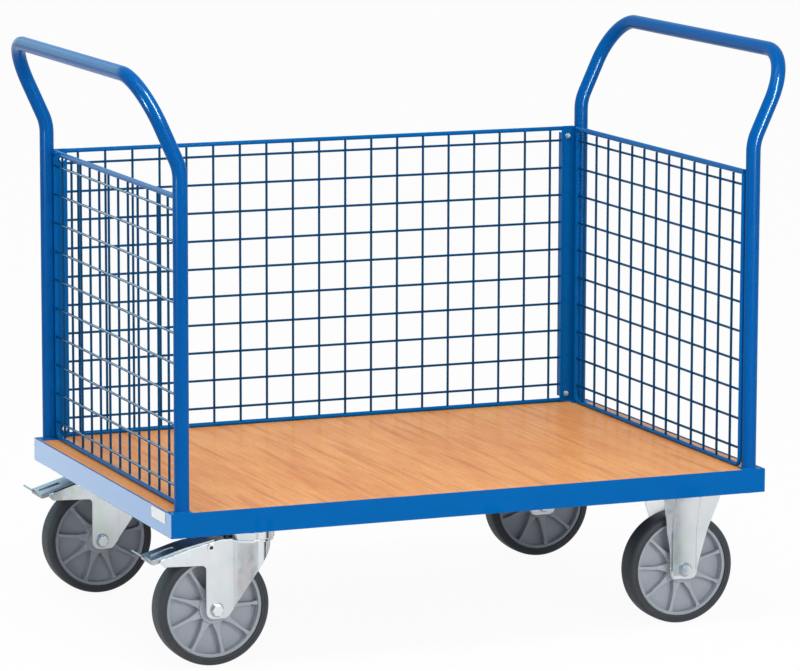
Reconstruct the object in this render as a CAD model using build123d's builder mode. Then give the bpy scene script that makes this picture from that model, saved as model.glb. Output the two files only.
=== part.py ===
from build123d import *
import math
import os

# Mesh trolley: an angle-framed platform with a board deck, a bent tube hoop at each end,
# wire mesh panels at both ends and along the back, two braked swivel castors at the left
# end and two fixed castors at the right end. Millimetres, X along the length, Y to the
# back, Z up, origin on the floor under the middle of the platform.

# Platform frame
frame_length = 1128.0
frame_width = 768.0
castor_headroom = 37.0
rail_height = 43.0
rail_flange = 30.0
rail_wall = 3.0
rail_edge_radius = 1.2
board_thickness = 18.0
board_drop = 1.0
board_gap = 1.5
board_edge_radius = 0.8

# Hoops
tube_diameter = 26.0
tube_wall = 2.0
post_end_gap = 9.0
post_side_gap = 0.3
hoop_bend_rise = 54.0
hoop_reach = 71.0
crossbar_rise = 156.0
hoop_bend_radius = 80.0
hoop_corner_radius = 90.0
plug_height = 40.0
plug_gap = 0.2
post_hole_gap = 0.15
corner_plate_wall = 2.0
corner_plate_margin = 3.0
notch_gap = 1.0
notch_radius = 8.0

# Mesh panels
panel_height = 531.0
panel_deck_gap = 0.2
panel_inset = 12.0
top_rail_diameter = 10.0
rod_diameter = 8.0
rod_corner_radius = 14.0
wire_width = 4.0
wire_pitch = 53.0
top_wire_drop = 23.5
back_panel_inset = 8.0
weld_gap = 0.1
strip_width = 26.0
strip_wall = 4.0
strip_rise = 5.0
strip_lift = 2.0
strip_corner_radius = 3.0
strip_leg = 16.0
strip_leg_gap = 4.0
lug_gap = 0.6
lug_height = 20.0
lug_wall = 3.0
panel_bolt_inset = 13.5
panel_nut_room = 0.8

# Castor seats
swivel_inset = 167.0
fixed_inset = 139.0
castor_inset = 73.0
pad_margin = 19.0
pad_width = 119.0
pad_wall = 3.0
cross_tube_width = 25.0
cross_tube_height = 21.0
cross_tube_wall = 2.0
cross_tube_room = 2.7
cross_tube_gap = 1.5
centre_tube_x = 12.0
plate_margin = 15.0
plate_wall = 5.0
plate_corner_radius = 8.0
swivel_bolt_spacing = 105.0
fixed_plate_margin = 11.0
fixed_plate_lip = 4.0
fixed_plate_shift = 8.0
fixed_bolt_spacing = 136.0
bolt_row_spacing = 60.0

# Wheels
wheel_radius = 102.0
tyre_thickness = 14.5
tyre_width = 48.0
tyre_shoulder = 9.0
tyre_fit = 0.05
rim_width = 40.0
rim_ring = 6.0
web_thickness = 8.0
hub_radius = 27.0
hub_boss_radius = 20.0
hub_width = 44.0
hub_side_gap = 1.0
spoke_count = 9
spoke_root = 15.0
spoke_neck = 7.0
spoke_neck_radius = 45.0
spoke_waist = 4.6
spoke_waist_radius = 72.0
spoke_tip = 9.0
spoke_width = 34.0
axle_tube_radius = 10.0
axle_fit = 0.05
spoke_turn_front_left = 2.0
spoke_turn_rear_left = 11.0
spoke_turn_front_right = 17.0
spoke_turn_rear_right = 0.0

# Forks and brackets
fork_gap = 60.0
sheet = 4.0
trail = 71.0
fork_lobe = 19.0
fork_heel = 20.0
fork_lobe_drop = 16.0
fork_lobe_radius = 14.0
nose_radius = 32.0
nose_lead = 6.0
crease_x = 39.0
slant_head_x = 44.0
fork_top_gap = 15.0
crown_wall = 5.0
crown_radius = 43.0
leg_rise = 4.0
shoulder_x = 64.0
arm_knee_x = 124.0
arm_knee_drop = 9.5
arm_tip_x = 177.0
arm_tip_drop = 26.0
arm_root_drop = 40.0
arm_depth = 11.0
arm_corner_radius = 8.0
race_outer = 45.0
race_inner = 38.0
race_gap = 0.4
track_outer = 35.0
track_inner = 27.0
track_depth = 7.5
ball_radius = 3.7
ball_count = 22
kingpin_radius = 8.0
kingpin_fit = 0.06
kingpin_flange = 17.0
kingpin_flange_wall = 4.0
kingpin_head = 24.0
kingpin_head_height = 6.0
kingpin_gap = 0.3
bracket_wall = 4.0
bracket_left_top = 48.0
bracket_right_top = 63.0
bracket_left_foot = 28.0
bracket_right_foot = 25.0
bracket_knee_rise = 34.0
bracket_drop = 18.0
bracket_flare_rise = 68.0
bracket_flare = 16.0
bracket_foot_radius = 14.0
bracket_knee_radius = 40.0
rib_left = 24.0
rib_right = 21.0
rib_proud = 3.0

# Brake pedals
pedal_travel = 10.0
pedal_pivot_x = 81.0
pedal_pivot_drop = 9.0
pedal_pin_radius = 5.0
pedal_pin_bore = 3.2
pedal_pin_head = 7.5
pedal_pin_head_wall = 1.5
pedal_fit = 0.05
pedal_side_gap = 1.0
pedal_wall = 2.5
pedal_start_x = 73.0
pedal_start_rise = 4.5
pedal_knee_x = 128.0
pedal_knee_drop = 7.0
pedal_tip_x = 187.0
pedal_tip_drop = 24.5
pedal_flange_depth = 13.0
pedal_ear_radius = 7.5
pedal_slot_length = 44.0
pedal_slot_width = 12.0
pedal_slot_x = 160.0
pedal_lip = 8.0
pedal_rod_radius = 1.8
pedal_rod_start = 20.0
pedal_rod_reach = 72.5
shoe_near_x = 101.0
shoe_far_x = 123.0
shoe_gap = 1.0
shoe_half_width = 15.0

# Fasteners
hoop_screw_radius = 5.0
castor_bolt_radius = 5.0
castor_bolt_flats = 17.0
castor_bolt_head = 2.4
castor_nut_height = 8.0
castor_bolt_spare = 4.0
axle_bolt_radius = 6.0
axle_bolt_flats = 18.0
axle_bolt_head = 7.5
axle_nut_height = 10.0
axle_bolt_spare = 4.0
panel_bolt_radius = 3.0
panel_bolt_flats = 10.0
panel_bolt_head = 4.0
panel_nut_height = 5.0
panel_bolt_spare = 3.0
bolt_hole_gap = 0.5
thread_gap = 0.05

# Levels and places that follow from the sizes above
castor_height = 2 * wheel_radius + castor_headroom
rail_top = castor_height + rail_height
flange_top = castor_height + rail_wall
deck_top = rail_top - board_drop
deck_bottom = deck_top - board_thickness
half_length = frame_length / 2
half_width = frame_width / 2
inner_length = half_length - rail_wall
inner_width = half_width - rail_wall
tube_radius = tube_diameter / 2
post_x = inner_length - tube_radius - post_end_gap
post_y = inner_width - tube_radius - post_side_gap
posts = [(-post_x, -post_y), (post_x, -post_y), (post_x, post_y), (-post_x, post_y)]
rod_radius = rod_diameter / 2
panel_bottom = deck_top + rod_radius + panel_deck_gap
panel_top = panel_bottom + panel_height
hoop_bend_height = panel_top + hoop_bend_rise
crossbar_height = hoop_bend_height + crossbar_rise
crossbar_x = post_x + hoop_reach
end_panel_x = post_x - panel_inset
post_to_rod = tube_radius + rod_radius + weld_gap
side_rod_y = post_y - math.sqrt(post_to_rod ** 2 - panel_inset ** 2)
panel_middle = (panel_top + panel_bottom) / 2
top_rail_radius = top_rail_diameter / 2
strip_inner = post_x - tube_radius - strip_width - weld_gap
strip_middle = strip_inner + strip_width / 2
panel_nut_half = panel_bolt_flats / math.sqrt(3) + panel_nut_room
panel_bolt_x = strip_inner + strip_wall + panel_nut_half
back_half_width = panel_bolt_x + panel_nut_half + rod_radius
back_mesh_reach = strip_inner - weld_gap
back_panel_y = half_width - back_panel_inset
lug_inner = strip_inner + strip_wall + lug_gap
lug_width = back_half_width - lug_inner
end_wires = 1 + 2 * int((side_rod_y - rod_radius) / wire_pitch)
back_wires = 1 + 2 * int(back_mesh_reach / wire_pitch)
cross_wires = 1 + int((panel_height - top_wire_drop - rod_diameter) / wire_pitch)
cross_middle = panel_top - top_wire_drop - wire_pitch * (cross_wires - 1) / 2
plate_bottom = castor_height - plate_wall
swivel_x = swivel_inset - half_length
fixed_x = half_length - fixed_inset
castor_y = half_width - castor_inset
plate_length = swivel_bolt_spacing + 2 * plate_margin
plate_width = bolt_row_spacing + 2 * plate_margin
fixed_plate_length = fixed_bolt_spacing + 2 * fixed_plate_margin
fixed_plate_width = fork_gap + 2 * (bracket_flare + bracket_wall + fixed_plate_lip)
pad_length = fixed_plate_length + 2 * pad_margin
castor_nut_corner = castor_bolt_flats / math.sqrt(3)
cross_tube_offset = fixed_bolt_spacing / 2 + castor_nut_corner + cross_tube_room + cross_tube_width / 2
pad_y = half_width - rail_flange - pad_width / 2
pad_top = castor_height + pad_wall
wheel_x = swivel_x - trail
fixed_plate_x = fixed_x + fixed_plate_shift
leg_inner = fork_gap / 2
leg_outer = leg_inner + sheet
hub_length = fork_gap - 2 * hub_side_gap
rim_radius = wheel_radius - tyre_thickness
fork_top = plate_bottom - fork_top_gap
crown_bottom = fork_top - crown_wall
pedal_half_width = leg_inner - pedal_side_gap
pedal_pivot_height = fork_top - pedal_pivot_drop
pedal_start_height = fork_top + pedal_start_rise
pedal_knee_height = fork_top - pedal_knee_drop
pedal_tip_height = fork_top - pedal_tip_drop
bracket_knee_height = wheel_radius + bracket_knee_rise
bracket_flare_height = wheel_radius + bracket_flare_rise
strip_y = back_panel_y - rod_radius - strip_wall
lug_y = strip_y + strip_wall


def side_plane(x, y, z=0.0):
    """A plane seen from the front: its own x runs right and its own y runs up."""
    return Plane(origin=(x, y, z), x_dir=(1, 0, 0), z_dir=(0, -1, 0))


def end_plane(x, y, z=0.0):
    """A plane seen from the right end: its own x runs back and its own y runs up."""
    return Plane(origin=(x, y, z), x_dir=(0, 1, 0), z_dir=(1, 0, 0))


def keep(part, name):
    """Name a finished piece and write it to its own file."""
    part.label = name
    export_step(part, f"parts/{name}.step")


def angle_rail(outward, half_run, reach, holes):
    """One mitred rail of the platform frame, an angle with its flange turned inward."""
    out = Vector(*outward)
    run = out.cross(Vector(0, 0, 1))
    foot = reach - rail_flange
    inside = reach - rail_wall
    with BuildPart() as rail:
        with BuildSketch(Plane(origin=(0, 0, 0), x_dir=out, z_dir=run)) as profile:
            Polygon(
                (reach, castor_height),
                (reach, rail_top),
                (inside, rail_top),
                (inside, flange_top),
                (foot, flange_top),
                (foot, castor_height),
                align=None,
            )
            heel = (inside, flange_top)
            outer_corners = profile.vertices().filter_by(lambda v: math.dist((v.X, v.Y), heel) > rail_edge_radius)
            fillet(outer_corners, rail_edge_radius)
        extrude(amount=half_run, both=True)
        for side in (1, -1):
            corner = out * reach + run * (side * half_run)
            mitre = Plane(origin=corner, z_dir=run * side - out)
            split(bisect_by=mitre, keep=Keep.BOTTOM)
        if holes:
            with BuildSketch(Plane.XY.offset(castor_height)):
                with Locations(*holes):
                    Circle(hoop_screw_radius + bolt_hole_gap)
            extrude(amount=rail_wall, mode=Mode.SUBTRACT)
    return rail.part


def hoop(side):
    """One end hoop: two posts that lean outward above the panels and join in a crossbar."""
    with BuildPart() as tube:
        with BuildLine() as path:
            FilletPolyline(
                (side * post_x, -post_y, flange_top),
                (side * post_x, -post_y, hoop_bend_height),
                (side * crossbar_x, -post_y, crossbar_height),
                (side * crossbar_x, post_y, crossbar_height),
                (side * post_x, post_y, hoop_bend_height),
                (side * post_x, post_y, flange_top),
                radius=[hoop_bend_radius, hoop_corner_radius, hoop_corner_radius, hoop_bend_radius],
            )
        with BuildSketch(Plane.XY.offset(flange_top)):
            with Locations((side * post_x, -post_y)):
                Circle(tube_radius)
                Circle(tube_radius - tube_wall, mode=Mode.SUBTRACT)
        sweep()
    return tube.part


def end_top_rail(side):
    """The round rail across the top of an end panel, coped against both posts."""
    with BuildPart() as rail:
        with BuildSketch(side_plane(side * end_panel_x, 0, panel_top)):
            Circle(top_rail_radius)
        extrude(amount=post_y - panel_inset + 2, both=True)
        with BuildSketch(Plane.XY.offset(panel_top - 2 * top_rail_radius)):
            with Locations(*posts):
                Circle(tube_radius + weld_gap)
        extrude(amount=4 * top_rail_radius, mode=Mode.SUBTRACT)
    return rail.part


def end_rod(side):
    """The bent rod down both sides and along the bottom of an end panel."""
    x = side * end_panel_x
    top = panel_top - top_rail_radius
    with BuildPart() as rod:
        with BuildLine():
            FilletPolyline(
                (x, -side_rod_y, top),
                (x, -side_rod_y, panel_bottom),
                (x, side_rod_y, panel_bottom),
                (x, side_rod_y, top),
                radius=rod_corner_radius,
            )
        with BuildSketch(Plane.XY.offset(top)):
            with Locations((x, -side_rod_y)):
                Circle(rod_radius)
        sweep()
    return rod.part


def end_mesh(side):
    """The wire lattice inside one end panel."""
    low = panel_bottom + rod_radius
    high = panel_top - top_rail_radius
    with BuildPart() as mesh:
        with BuildSketch(end_plane(side * end_panel_x, 0)):
            with Locations((0, (low + high) / 2)):
                with GridLocations(wire_pitch, 1, end_wires, 1):
                    Rectangle(wire_width, high - low)
            with Locations((0, cross_middle)):
                with GridLocations(1, wire_pitch, 1, cross_wires):
                    Rectangle(2 * (side_rod_y - rod_radius), wire_width)
        extrude(amount=wire_width / 2, both=True)
    return mesh.part


def hex_group(points, plane, flats, head, shank, length):
    """A group of equal hexagon bolts, heads on the plane and shanks along its normal."""
    with BuildPart() as bolts:
        with BuildSketch(plane.offset(-head)):
            with Locations(*points):
                RegularPolygon(flats / 2, 6, major_radius=False)
        extrude(amount=head)
        with BuildSketch(plane):
            with Locations(*points):
                Circle(shank)
        extrude(amount=length)
    return bolts.part


def nut_group(points, plane, flats, height, shank):
    """A group of equal hexagon nuts that stand on the plane."""
    with BuildPart() as nuts:
        with BuildSketch(plane):
            with Locations(*points):
                RegularPolygon(flats / 2, 6, major_radius=False)
                Circle(shank + thread_gap, mode=Mode.SUBTRACT)
        extrude(amount=height)
    return nuts.part


def tyre(x, y):
    """A rubber tyre with rounded shoulders."""
    outer = wheel_radius
    inner = rim_radius + tyre_fit
    half = tyre_width / 2
    with BuildPart() as ring:
        with BuildSketch(end_plane(x, y, wheel_radius)) as profile:
            with BuildLine():
                Polyline((-half, outer - tyre_shoulder), (-half, inner), (half, inner))
                Line((half, inner), (half, outer - tyre_shoulder))
                ThreePointArc(
                    (half, outer - tyre_shoulder),
                    (half - tyre_shoulder * 0.32, outer - tyre_shoulder * 0.28),
                    (half - tyre_shoulder, outer - 0.6),
                )
                ThreePointArc(
                    (half - tyre_shoulder, outer - 0.6),
                    (0, outer),
                    (tyre_shoulder - half, outer - 0.6),
                )
                ThreePointArc(
                    (tyre_shoulder - half, outer - 0.6),
                    (tyre_shoulder * 0.32 - half, outer - tyre_shoulder * 0.28),
                    (-half, outer - tyre_shoulder),
                )
            make_face()
        revolve(axis=Axis((x, y, wheel_radius), (0, 1, 0)))
    return ring.part


def rim(x, y, turn):
    """A moulded wheel centre: ring, web, hub and tapered spokes on both sides."""
    bore = axle_tube_radius + axle_fit
    ring_inner = rim_radius - rim_ring
    spoke_end = ring_inner + rim_ring / 3
    spoke_start = (hub_radius + bore) / 2
    with BuildPart() as centre:
        with BuildSketch(end_plane(x, y, wheel_radius)):
            with Locations((0, (rim_radius + ring_inner) / 2)):
                Rectangle(rim_width, rim_ring)
            with Locations((0, (ring_inner + hub_radius) / 2)):
                Rectangle(web_thickness, ring_inner - hub_radius + rim_ring)
            with Locations((0, (hub_radius + bore) / 2)):
                Rectangle(hub_width, hub_radius - bore)
            with Locations((0, (hub_boss_radius + bore) / 2)):
                Rectangle(hub_length, hub_boss_radius - bore)
        revolve(axis=Axis((x, y, wheel_radius), (0, 1, 0)))
        with BuildSketch(side_plane(x, y, wheel_radius)):
            with PolarLocations(0, spoke_count, start_angle=turn):
                Polygon(
                    (spoke_start, -spoke_root / 2),
                    (hub_radius, -spoke_root / 2),
                    (spoke_neck_radius, -spoke_neck / 2),
                    (spoke_waist_radius, -spoke_waist / 2),
                    (spoke_end, -spoke_tip / 2),
                    (spoke_end, spoke_tip / 2),
                    (spoke_waist_radius, spoke_waist / 2),
                    (spoke_neck_radius, spoke_neck / 2),
                    (hub_radius, spoke_root / 2),
                    (spoke_start, spoke_root / 2),
                    align=None,
                )
        extrude(amount=spoke_width / 2, both=True)
    return centre.part


def axle_tube(points):
    """The tubes that space the fork legs and carry the wheel hubs."""
    with BuildPart() as tubes:
        for x, y in points:
            with BuildSketch(side_plane(x, y, wheel_radius)):
                Circle(axle_tube_radius)
                Circle(axle_bolt_radius + thread_gap, mode=Mode.SUBTRACT)
            extrude(amount=leg_inner, both=True)
    return tubes.part


def axle_bolts(points, outside):
    """Axle bolts through both legs, heads toward the front."""
    length = 2 * outside + axle_nut_height + axle_bolt_spare
    with BuildPart() as bolts:
        for x, y in points:
            with BuildSketch(side_plane(x, y - outside, wheel_radius)):
                RegularPolygon(axle_bolt_flats / 2, 6, major_radius=False)
            extrude(amount=axle_bolt_head)
            with BuildSketch(side_plane(x, y - outside, wheel_radius)):
                Circle(axle_bolt_radius)
            extrude(amount=-length)
    return bolts.part


def axle_nuts(points, outside):
    """Axle nuts on the back faces of the legs."""
    with BuildPart() as nuts:
        for x, y in points:
            with BuildSketch(side_plane(x, y + outside, wheel_radius)):
                RegularPolygon(axle_bolt_flats / 2, 6, major_radius=False)
                Circle(axle_bolt_radius + thread_gap, mode=Mode.SUBTRACT)
            extrude(amount=-axle_nut_height)
    return nuts.part


def fork(y):
    """A swivel fork: a round nose under a crown, two proud legs and two pedal arms."""
    foot = wheel_radius - fork_lobe_drop
    leg_top = fork_top + leg_rise
    nose_x = swivel_x + nose_lead
    nose_inner = nose_radius - sheet
    turn_in = crease_x + sheet
    with BuildPart() as shell:
        with BuildSketch(Plane.XY.offset(foot)):
            with Locations((nose_x, y)):
                Circle(nose_radius)
            with Locations((swivel_x + (nose_lead - crease_x) / 2, y)):
                Rectangle(crease_x + nose_lead, 2 * nose_radius)
            with Locations((swivel_x - (crease_x + arm_tip_x) / 2, y)):
                Rectangle(arm_tip_x - crease_x, 2 * leg_outer)
        extrude(amount=leg_top - foot)
        with BuildSketch(Plane.XY.offset(foot)):
            with Locations((nose_x, y)):
                Circle(nose_inner)
            with Locations((swivel_x + (nose_lead - turn_in) / 2, y)):
                Rectangle(turn_in + nose_lead, 2 * nose_inner)
            with Locations((swivel_x - (turn_in + arm_tip_x) / 2, y)):
                Rectangle(arm_tip_x - turn_in, 2 * leg_inner)
        extrude(amount=leg_top - foot, mode=Mode.SUBTRACT)
        with BuildSketch(side_plane(swivel_x, y)):
            with BuildLine():
                FilletPolyline(
                    (-trail - fork_lobe, foot),
                    (fork_heel - trail, foot),
                    (slant_head_x, crown_bottom),
                    (slant_head_x, fork_top),
                    (-turn_in + leg_rise * 2, fork_top),
                    (-turn_in, leg_top),
                    (-shoulder_x, leg_top),
                    (-arm_knee_x, fork_top - arm_knee_drop),
                    (-arm_tip_x, fork_top - arm_tip_drop),
                    (-arm_tip_x + arm_depth, fork_top - arm_tip_drop - arm_depth),
                    (-trail - fork_lobe, fork_top - arm_root_drop),
                    radius=[
                        fork_lobe_radius,
                        fork_lobe_radius,
                        0,
                        0,
                        0,
                        0,
                        arm_corner_radius * 3,
                        arm_corner_radius * 3,
                        arm_depth / 3,
                        arm_depth / 3,
                        arm_corner_radius,
                    ],
                    close=True,
                )
            make_face()
        extrude(amount=leg_outer + 1, both=True, mode=Mode.INTERSECT)
        with BuildSketch(Plane.XY.offset(crown_bottom)):
            with Locations((swivel_x, y)):
                Circle(crown_radius)
        extrude(amount=crown_wall)
        with BuildSketch(Plane.XY.offset(crown_bottom)):
            with Locations((swivel_x, y)):
                Circle(kingpin_radius + kingpin_fit)
        extrude(amount=crown_wall, mode=Mode.SUBTRACT)
        with BuildSketch(side_plane(swivel_x, y)):
            with Locations((-trail, wheel_radius)):
                Circle(axle_bolt_radius + thread_gap)
            with Locations((-pedal_pivot_x, pedal_pivot_height)):
                Circle(pedal_pin_radius + pedal_fit)
        extrude(amount=leg_outer + 1, both=True, mode=Mode.SUBTRACT)
    return shell.part


def race_ring(y):
    """The dust ring round the ball race, standing on the fork crown."""
    with BuildPart() as ring:
        with BuildSketch(Plane.XY.offset(fork_top)):
            with Locations((swivel_x, y)):
                Circle(race_outer)
                Circle(race_inner, mode=Mode.SUBTRACT)
        extrude(amount=fork_top_gap - race_gap)
        circles = ring.edges().filter_by(GeomType.CIRCLE)
        outer_edges = circles.filter_by(lambda e: e.radius > race_inner)
        fillet(outer_edges, (race_outer - crown_radius) * 0.9)
    return ring.part


def race_balls(y):
    """The ring of balls between the fork crown and the track of the top plate."""
    pitch = (track_outer + track_inner) / 2
    gap = fork_top_gap - track_depth
    with BuildPart() as balls:
        with Locations((swivel_x, y, fork_top + gap / 2)):
            with PolarLocations(pitch, ball_count):
                Sphere(min(ball_radius, gap / 2 - thread_gap))
    return balls.part


def pedal_pin(y):
    """The hollow pivot pin of a brake pedal, flanged outside both arms."""
    with BuildPart() as pin:
        with BuildSketch(side_plane(swivel_x - pedal_pivot_x, y, pedal_pivot_height)):
            Circle(pedal_pin_radius)
        extrude(amount=leg_outer, both=True)
        for side in (1, -1):
            with BuildSketch(side_plane(swivel_x - pedal_pivot_x, y + side * leg_outer, pedal_pivot_height)):
                Circle(pedal_pin_head)
            extrude(amount=-side * pedal_pin_head_wall)
        with BuildSketch(side_plane(swivel_x - pedal_pivot_x, y, pedal_pivot_height)):
            Circle(pedal_pin_bore)
        extrude(amount=leg_outer + pedal_pin_head_wall, both=True, mode=Mode.SUBTRACT)
        for side in (1, -1):
            with BuildSketch(side_plane(swivel_x - pedal_pivot_x, y + side * leg_outer, pedal_pivot_height)):
                Circle(pedal_pin_bore)
            extrude(amount=-side * (pedal_pin_head_wall + 1), mode=Mode.SUBTRACT)
    return pin.part


def pedal(y):
    """A brake pedal: a bent channel with ears on the pivot pin, a slot, a lip and a side rod."""
    under = pedal_wall * 1.06
    lip_foot = pedal_tip_height - pedal_lip
    rod_x = pedal_tip_x + pedal_rod_radius / 2
    rod_middle = (pedal_rod_reach + pedal_rod_start) / 2
    tip_slope = (pedal_knee_height - pedal_tip_height) / (pedal_tip_x - pedal_knee_x)
    lip_top = pedal_tip_height + tip_slope * pedal_wall - under
    with BuildPart() as channel:
        with BuildSketch(side_plane(swivel_x, y)):
            Polygon(
                (-pedal_start_x, pedal_start_height),
                (-pedal_knee_x, pedal_knee_height),
                (-pedal_tip_x, pedal_tip_height),
                (-pedal_tip_x, lip_foot),
                (-pedal_tip_x + pedal_wall * 2, lip_foot),
                (-pedal_knee_x, pedal_knee_height - pedal_flange_depth),
                (-pedal_start_x, pedal_start_height - pedal_flange_depth),
                align=None,
            )
            with Locations((-pedal_pivot_x, pedal_pivot_height)):
                Circle(pedal_ear_radius)
        extrude(amount=pedal_half_width, both=True)
        with BuildSketch(side_plane(swivel_x, y)):
            Polygon(
                (-pedal_start_x + pedal_ear_radius * 2, pedal_start_height - under),
                (-pedal_start_x, pedal_start_height - under),
                (-pedal_knee_x, pedal_knee_height - under),
                (-pedal_tip_x + pedal_wall, lip_top),
                (-pedal_tip_x + pedal_wall, lip_foot - pedal_ear_radius * 2),
                (-pedal_start_x + pedal_ear_radius * 2, lip_foot - pedal_ear_radius * 2),
                align=None,
            )
        extrude(amount=pedal_half_width - pedal_wall, both=True, mode=Mode.SUBTRACT)
        with BuildSketch(side_plane(swivel_x, y)):
            with Locations((-pedal_pivot_x, pedal_pivot_height)):
                Circle(pedal_pin_radius + pedal_fit)
        extrude(amount=pedal_half_width + 1, both=True, mode=Mode.SUBTRACT)
        with BuildSketch(Plane.XY.offset(lip_foot)):
            with Locations((swivel_x - pedal_slot_x, y)):
                SlotOverall(pedal_slot_length, pedal_slot_width)
        extrude(amount=pedal_start_height - lip_foot, mode=Mode.SUBTRACT)
        with BuildSketch(side_plane(swivel_x, y + rod_middle)):
            with Locations((-rod_x, pedal_tip_height - pedal_rod_radius)):
                Circle(pedal_rod_radius)
        extrude(amount=(pedal_rod_reach - pedal_rod_start) / 2, both=True)
    return channel.part


def brake_shoe(y):
    """The rubber block under a pedal, hollowed to the tyre as the pressed pedal meets it."""
    slope = (pedal_start_height - pedal_knee_height) / (pedal_knee_x - pedal_start_x)
    under = pedal_start_height - pedal_wall * 1.06
    press = math.radians(pedal_travel)
    reach = pedal_pivot_x - trail
    drop = pedal_pivot_height - wheel_radius
    pressed_x = reach * math.cos(press) - drop * math.sin(press) - pedal_pivot_x
    pressed_height = pedal_pivot_height - reach * math.sin(press) - drop * math.cos(press)
    with BuildPart() as shoe:
        with BuildSketch(side_plane(swivel_x, y)):
            Polygon(
                (-shoe_near_x, pressed_height),
                (-shoe_near_x, under - slope * (shoe_near_x - pedal_start_x)),
                (-shoe_far_x, under - slope * (shoe_far_x - pedal_start_x)),
                (-shoe_far_x, pressed_height),
                align=None,
            )
            with Locations((pressed_x, pressed_height)):
                Circle(wheel_radius + shoe_gap, mode=Mode.SUBTRACT)
        extrude(amount=shoe_half_width, both=True)
    return shoe.part


def bolt_corners(x, y, spacing):
    """The four bolt places of one castor plate."""
    rows = bolt_row_spacing / 2
    reach = spacing / 2
    return [(x - reach, y - rows), (x + reach, y - rows), (x + reach, y + rows), (x - reach, y + rows)]


def fixed_bracket(y):
    """A fixed castor bracket: a plate with two flared legs, each with a raised rib."""
    foot = wheel_radius - bracket_drop
    plate_level = castor_height - bracket_wall
    top_inner = leg_inner + bracket_flare
    rise = plate_level - bracket_flare_height
    lean = bracket_wall * math.sqrt(1 + (bracket_flare / rise) ** 2)
    elbow = bracket_flare_height + bracket_wall * 0.2
    leg_face = leg_inner + bracket_wall
    rib_foot = foot + bracket_foot_radius
    with BuildPart() as bracket:
        for side in (1, -1):
            with BuildSketch(end_plane(fixed_x, y)):
                Polygon(
                    (side * leg_inner, foot),
                    (side * leg_inner, bracket_flare_height),
                    (side * top_inner, plate_level),
                    (side * (top_inner + lean), plate_level),
                    (side * leg_face, elbow),
                    (side * leg_face, foot),
                    align=None,
                )
            extrude(amount=bracket_left_top + bracket_right_top, both=True)
        with BuildSketch(side_plane(fixed_x, y)):
            with BuildLine():
                FilletPolyline(
                    (-bracket_left_foot, foot),
                    (bracket_right_foot, foot),
                    (bracket_right_foot, wheel_radius),
                    (bracket_right_top, plate_level),
                    (-bracket_left_top, plate_level),
                    (-bracket_left_foot, bracket_knee_height),
                    radius=[
                        bracket_foot_radius,
                        bracket_foot_radius,
                        bracket_foot_radius * 0.2,
                        0,
                        0,
                        bracket_knee_radius,
                    ],
                    close=True,
                )
            make_face()
        extrude(amount=top_inner + 3 * bracket_wall, both=True, mode=Mode.INTERSECT)
        for side in (1, -1):
            with BuildSketch(end_plane(fixed_x + (rib_right - rib_left) / 2, y)):
                Polygon(
                    (side * (leg_inner + bracket_wall / 2), rib_foot),
                    (side * (leg_inner + bracket_wall / 2), bracket_flare_height),
                    (side * (top_inner + lean / 2), plate_level),
                    (side * (top_inner + lean + rib_proud * 0.3), plate_level),
                    (side * (top_inner + lean), plate_level - rib_proud * 3),
                    (side * (leg_face + rib_proud), elbow),
                    (side * (leg_face + rib_proud), rib_foot - 2 * rib_proud),
                    (side * leg_face, rib_foot - 4 * rib_proud),
                    align=None,
                )
            extrude(amount=(rib_left + rib_right) / 2, both=True)
        with BuildSketch(Plane.XY.offset(plate_level)):
            with Locations((fixed_plate_x, y)):
                RectangleRounded(fixed_plate_length, fixed_plate_width, plate_corner_radius)
            with Locations(*bolt_corners(fixed_plate_x, y, fixed_bolt_spacing)):
                Circle(castor_bolt_radius + bolt_hole_gap, mode=Mode.SUBTRACT)
        extrude(amount=bracket_wall)
        with BuildSketch(side_plane(fixed_x, y)):
            with Locations((0, wheel_radius)):
                Circle(axle_bolt_radius + thread_gap)
        extrude(amount=fixed_plate_width, both=True, mode=Mode.SUBTRACT)
    return bracket.part


front_y = -castor_y
rear_y = castor_y
castor_seats = [(swivel_x, front_y), (swivel_x, rear_y), (fixed_plate_x, front_y), (fixed_plate_x, rear_y)]
swivel_bolts = bolt_corners(swivel_x, front_y, swivel_bolt_spacing)
swivel_bolts = swivel_bolts + bolt_corners(swivel_x, rear_y, swivel_bolt_spacing)
fixed_bolts = bolt_corners(fixed_plate_x, front_y, fixed_bolt_spacing)
fixed_bolts = fixed_bolts + bolt_corners(fixed_plate_x, rear_y, fixed_bolt_spacing)
castor_bolt_places = swivel_bolts + fixed_bolts
fixed_outside = leg_inner + bracket_wall + rib_proud

# Corner plates fill the deck notches round the posts
notch_inner_x = post_x - tube_radius - corner_plate_margin
notch_inner_y = post_y - tube_radius - corner_plate_margin
with BuildPart() as corner_plates:
    with BuildSketch(Plane.XY.offset(deck_top - corner_plate_wall)) as plate_outline:
        for across in (1, -1):
            for along in (1, -1):
                with Locations((along * (notch_inner_x + inner_length) / 2, across * (notch_inner_y + inner_width) / 2)):
                    Rectangle(inner_length - notch_inner_x, inner_width - notch_inner_y)
                with Locations((along * post_x, across * post_y)):
                    Circle(tube_radius + post_hole_gap, mode=Mode.SUBTRACT)
                with Locations((along * post_x, across * (post_y + tube_radius))):
                    Rectangle(2 * (tube_radius + post_hole_gap), 2 * tube_radius, mode=Mode.SUBTRACT)
        inner_corners = plate_outline.vertices().sort_by(lambda v: max(abs(v.X) / half_length, abs(v.Y) / half_width))
        fillet(inner_corners[:4], notch_radius - notch_gap)
    extrude(amount=corner_plate_wall)

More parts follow.
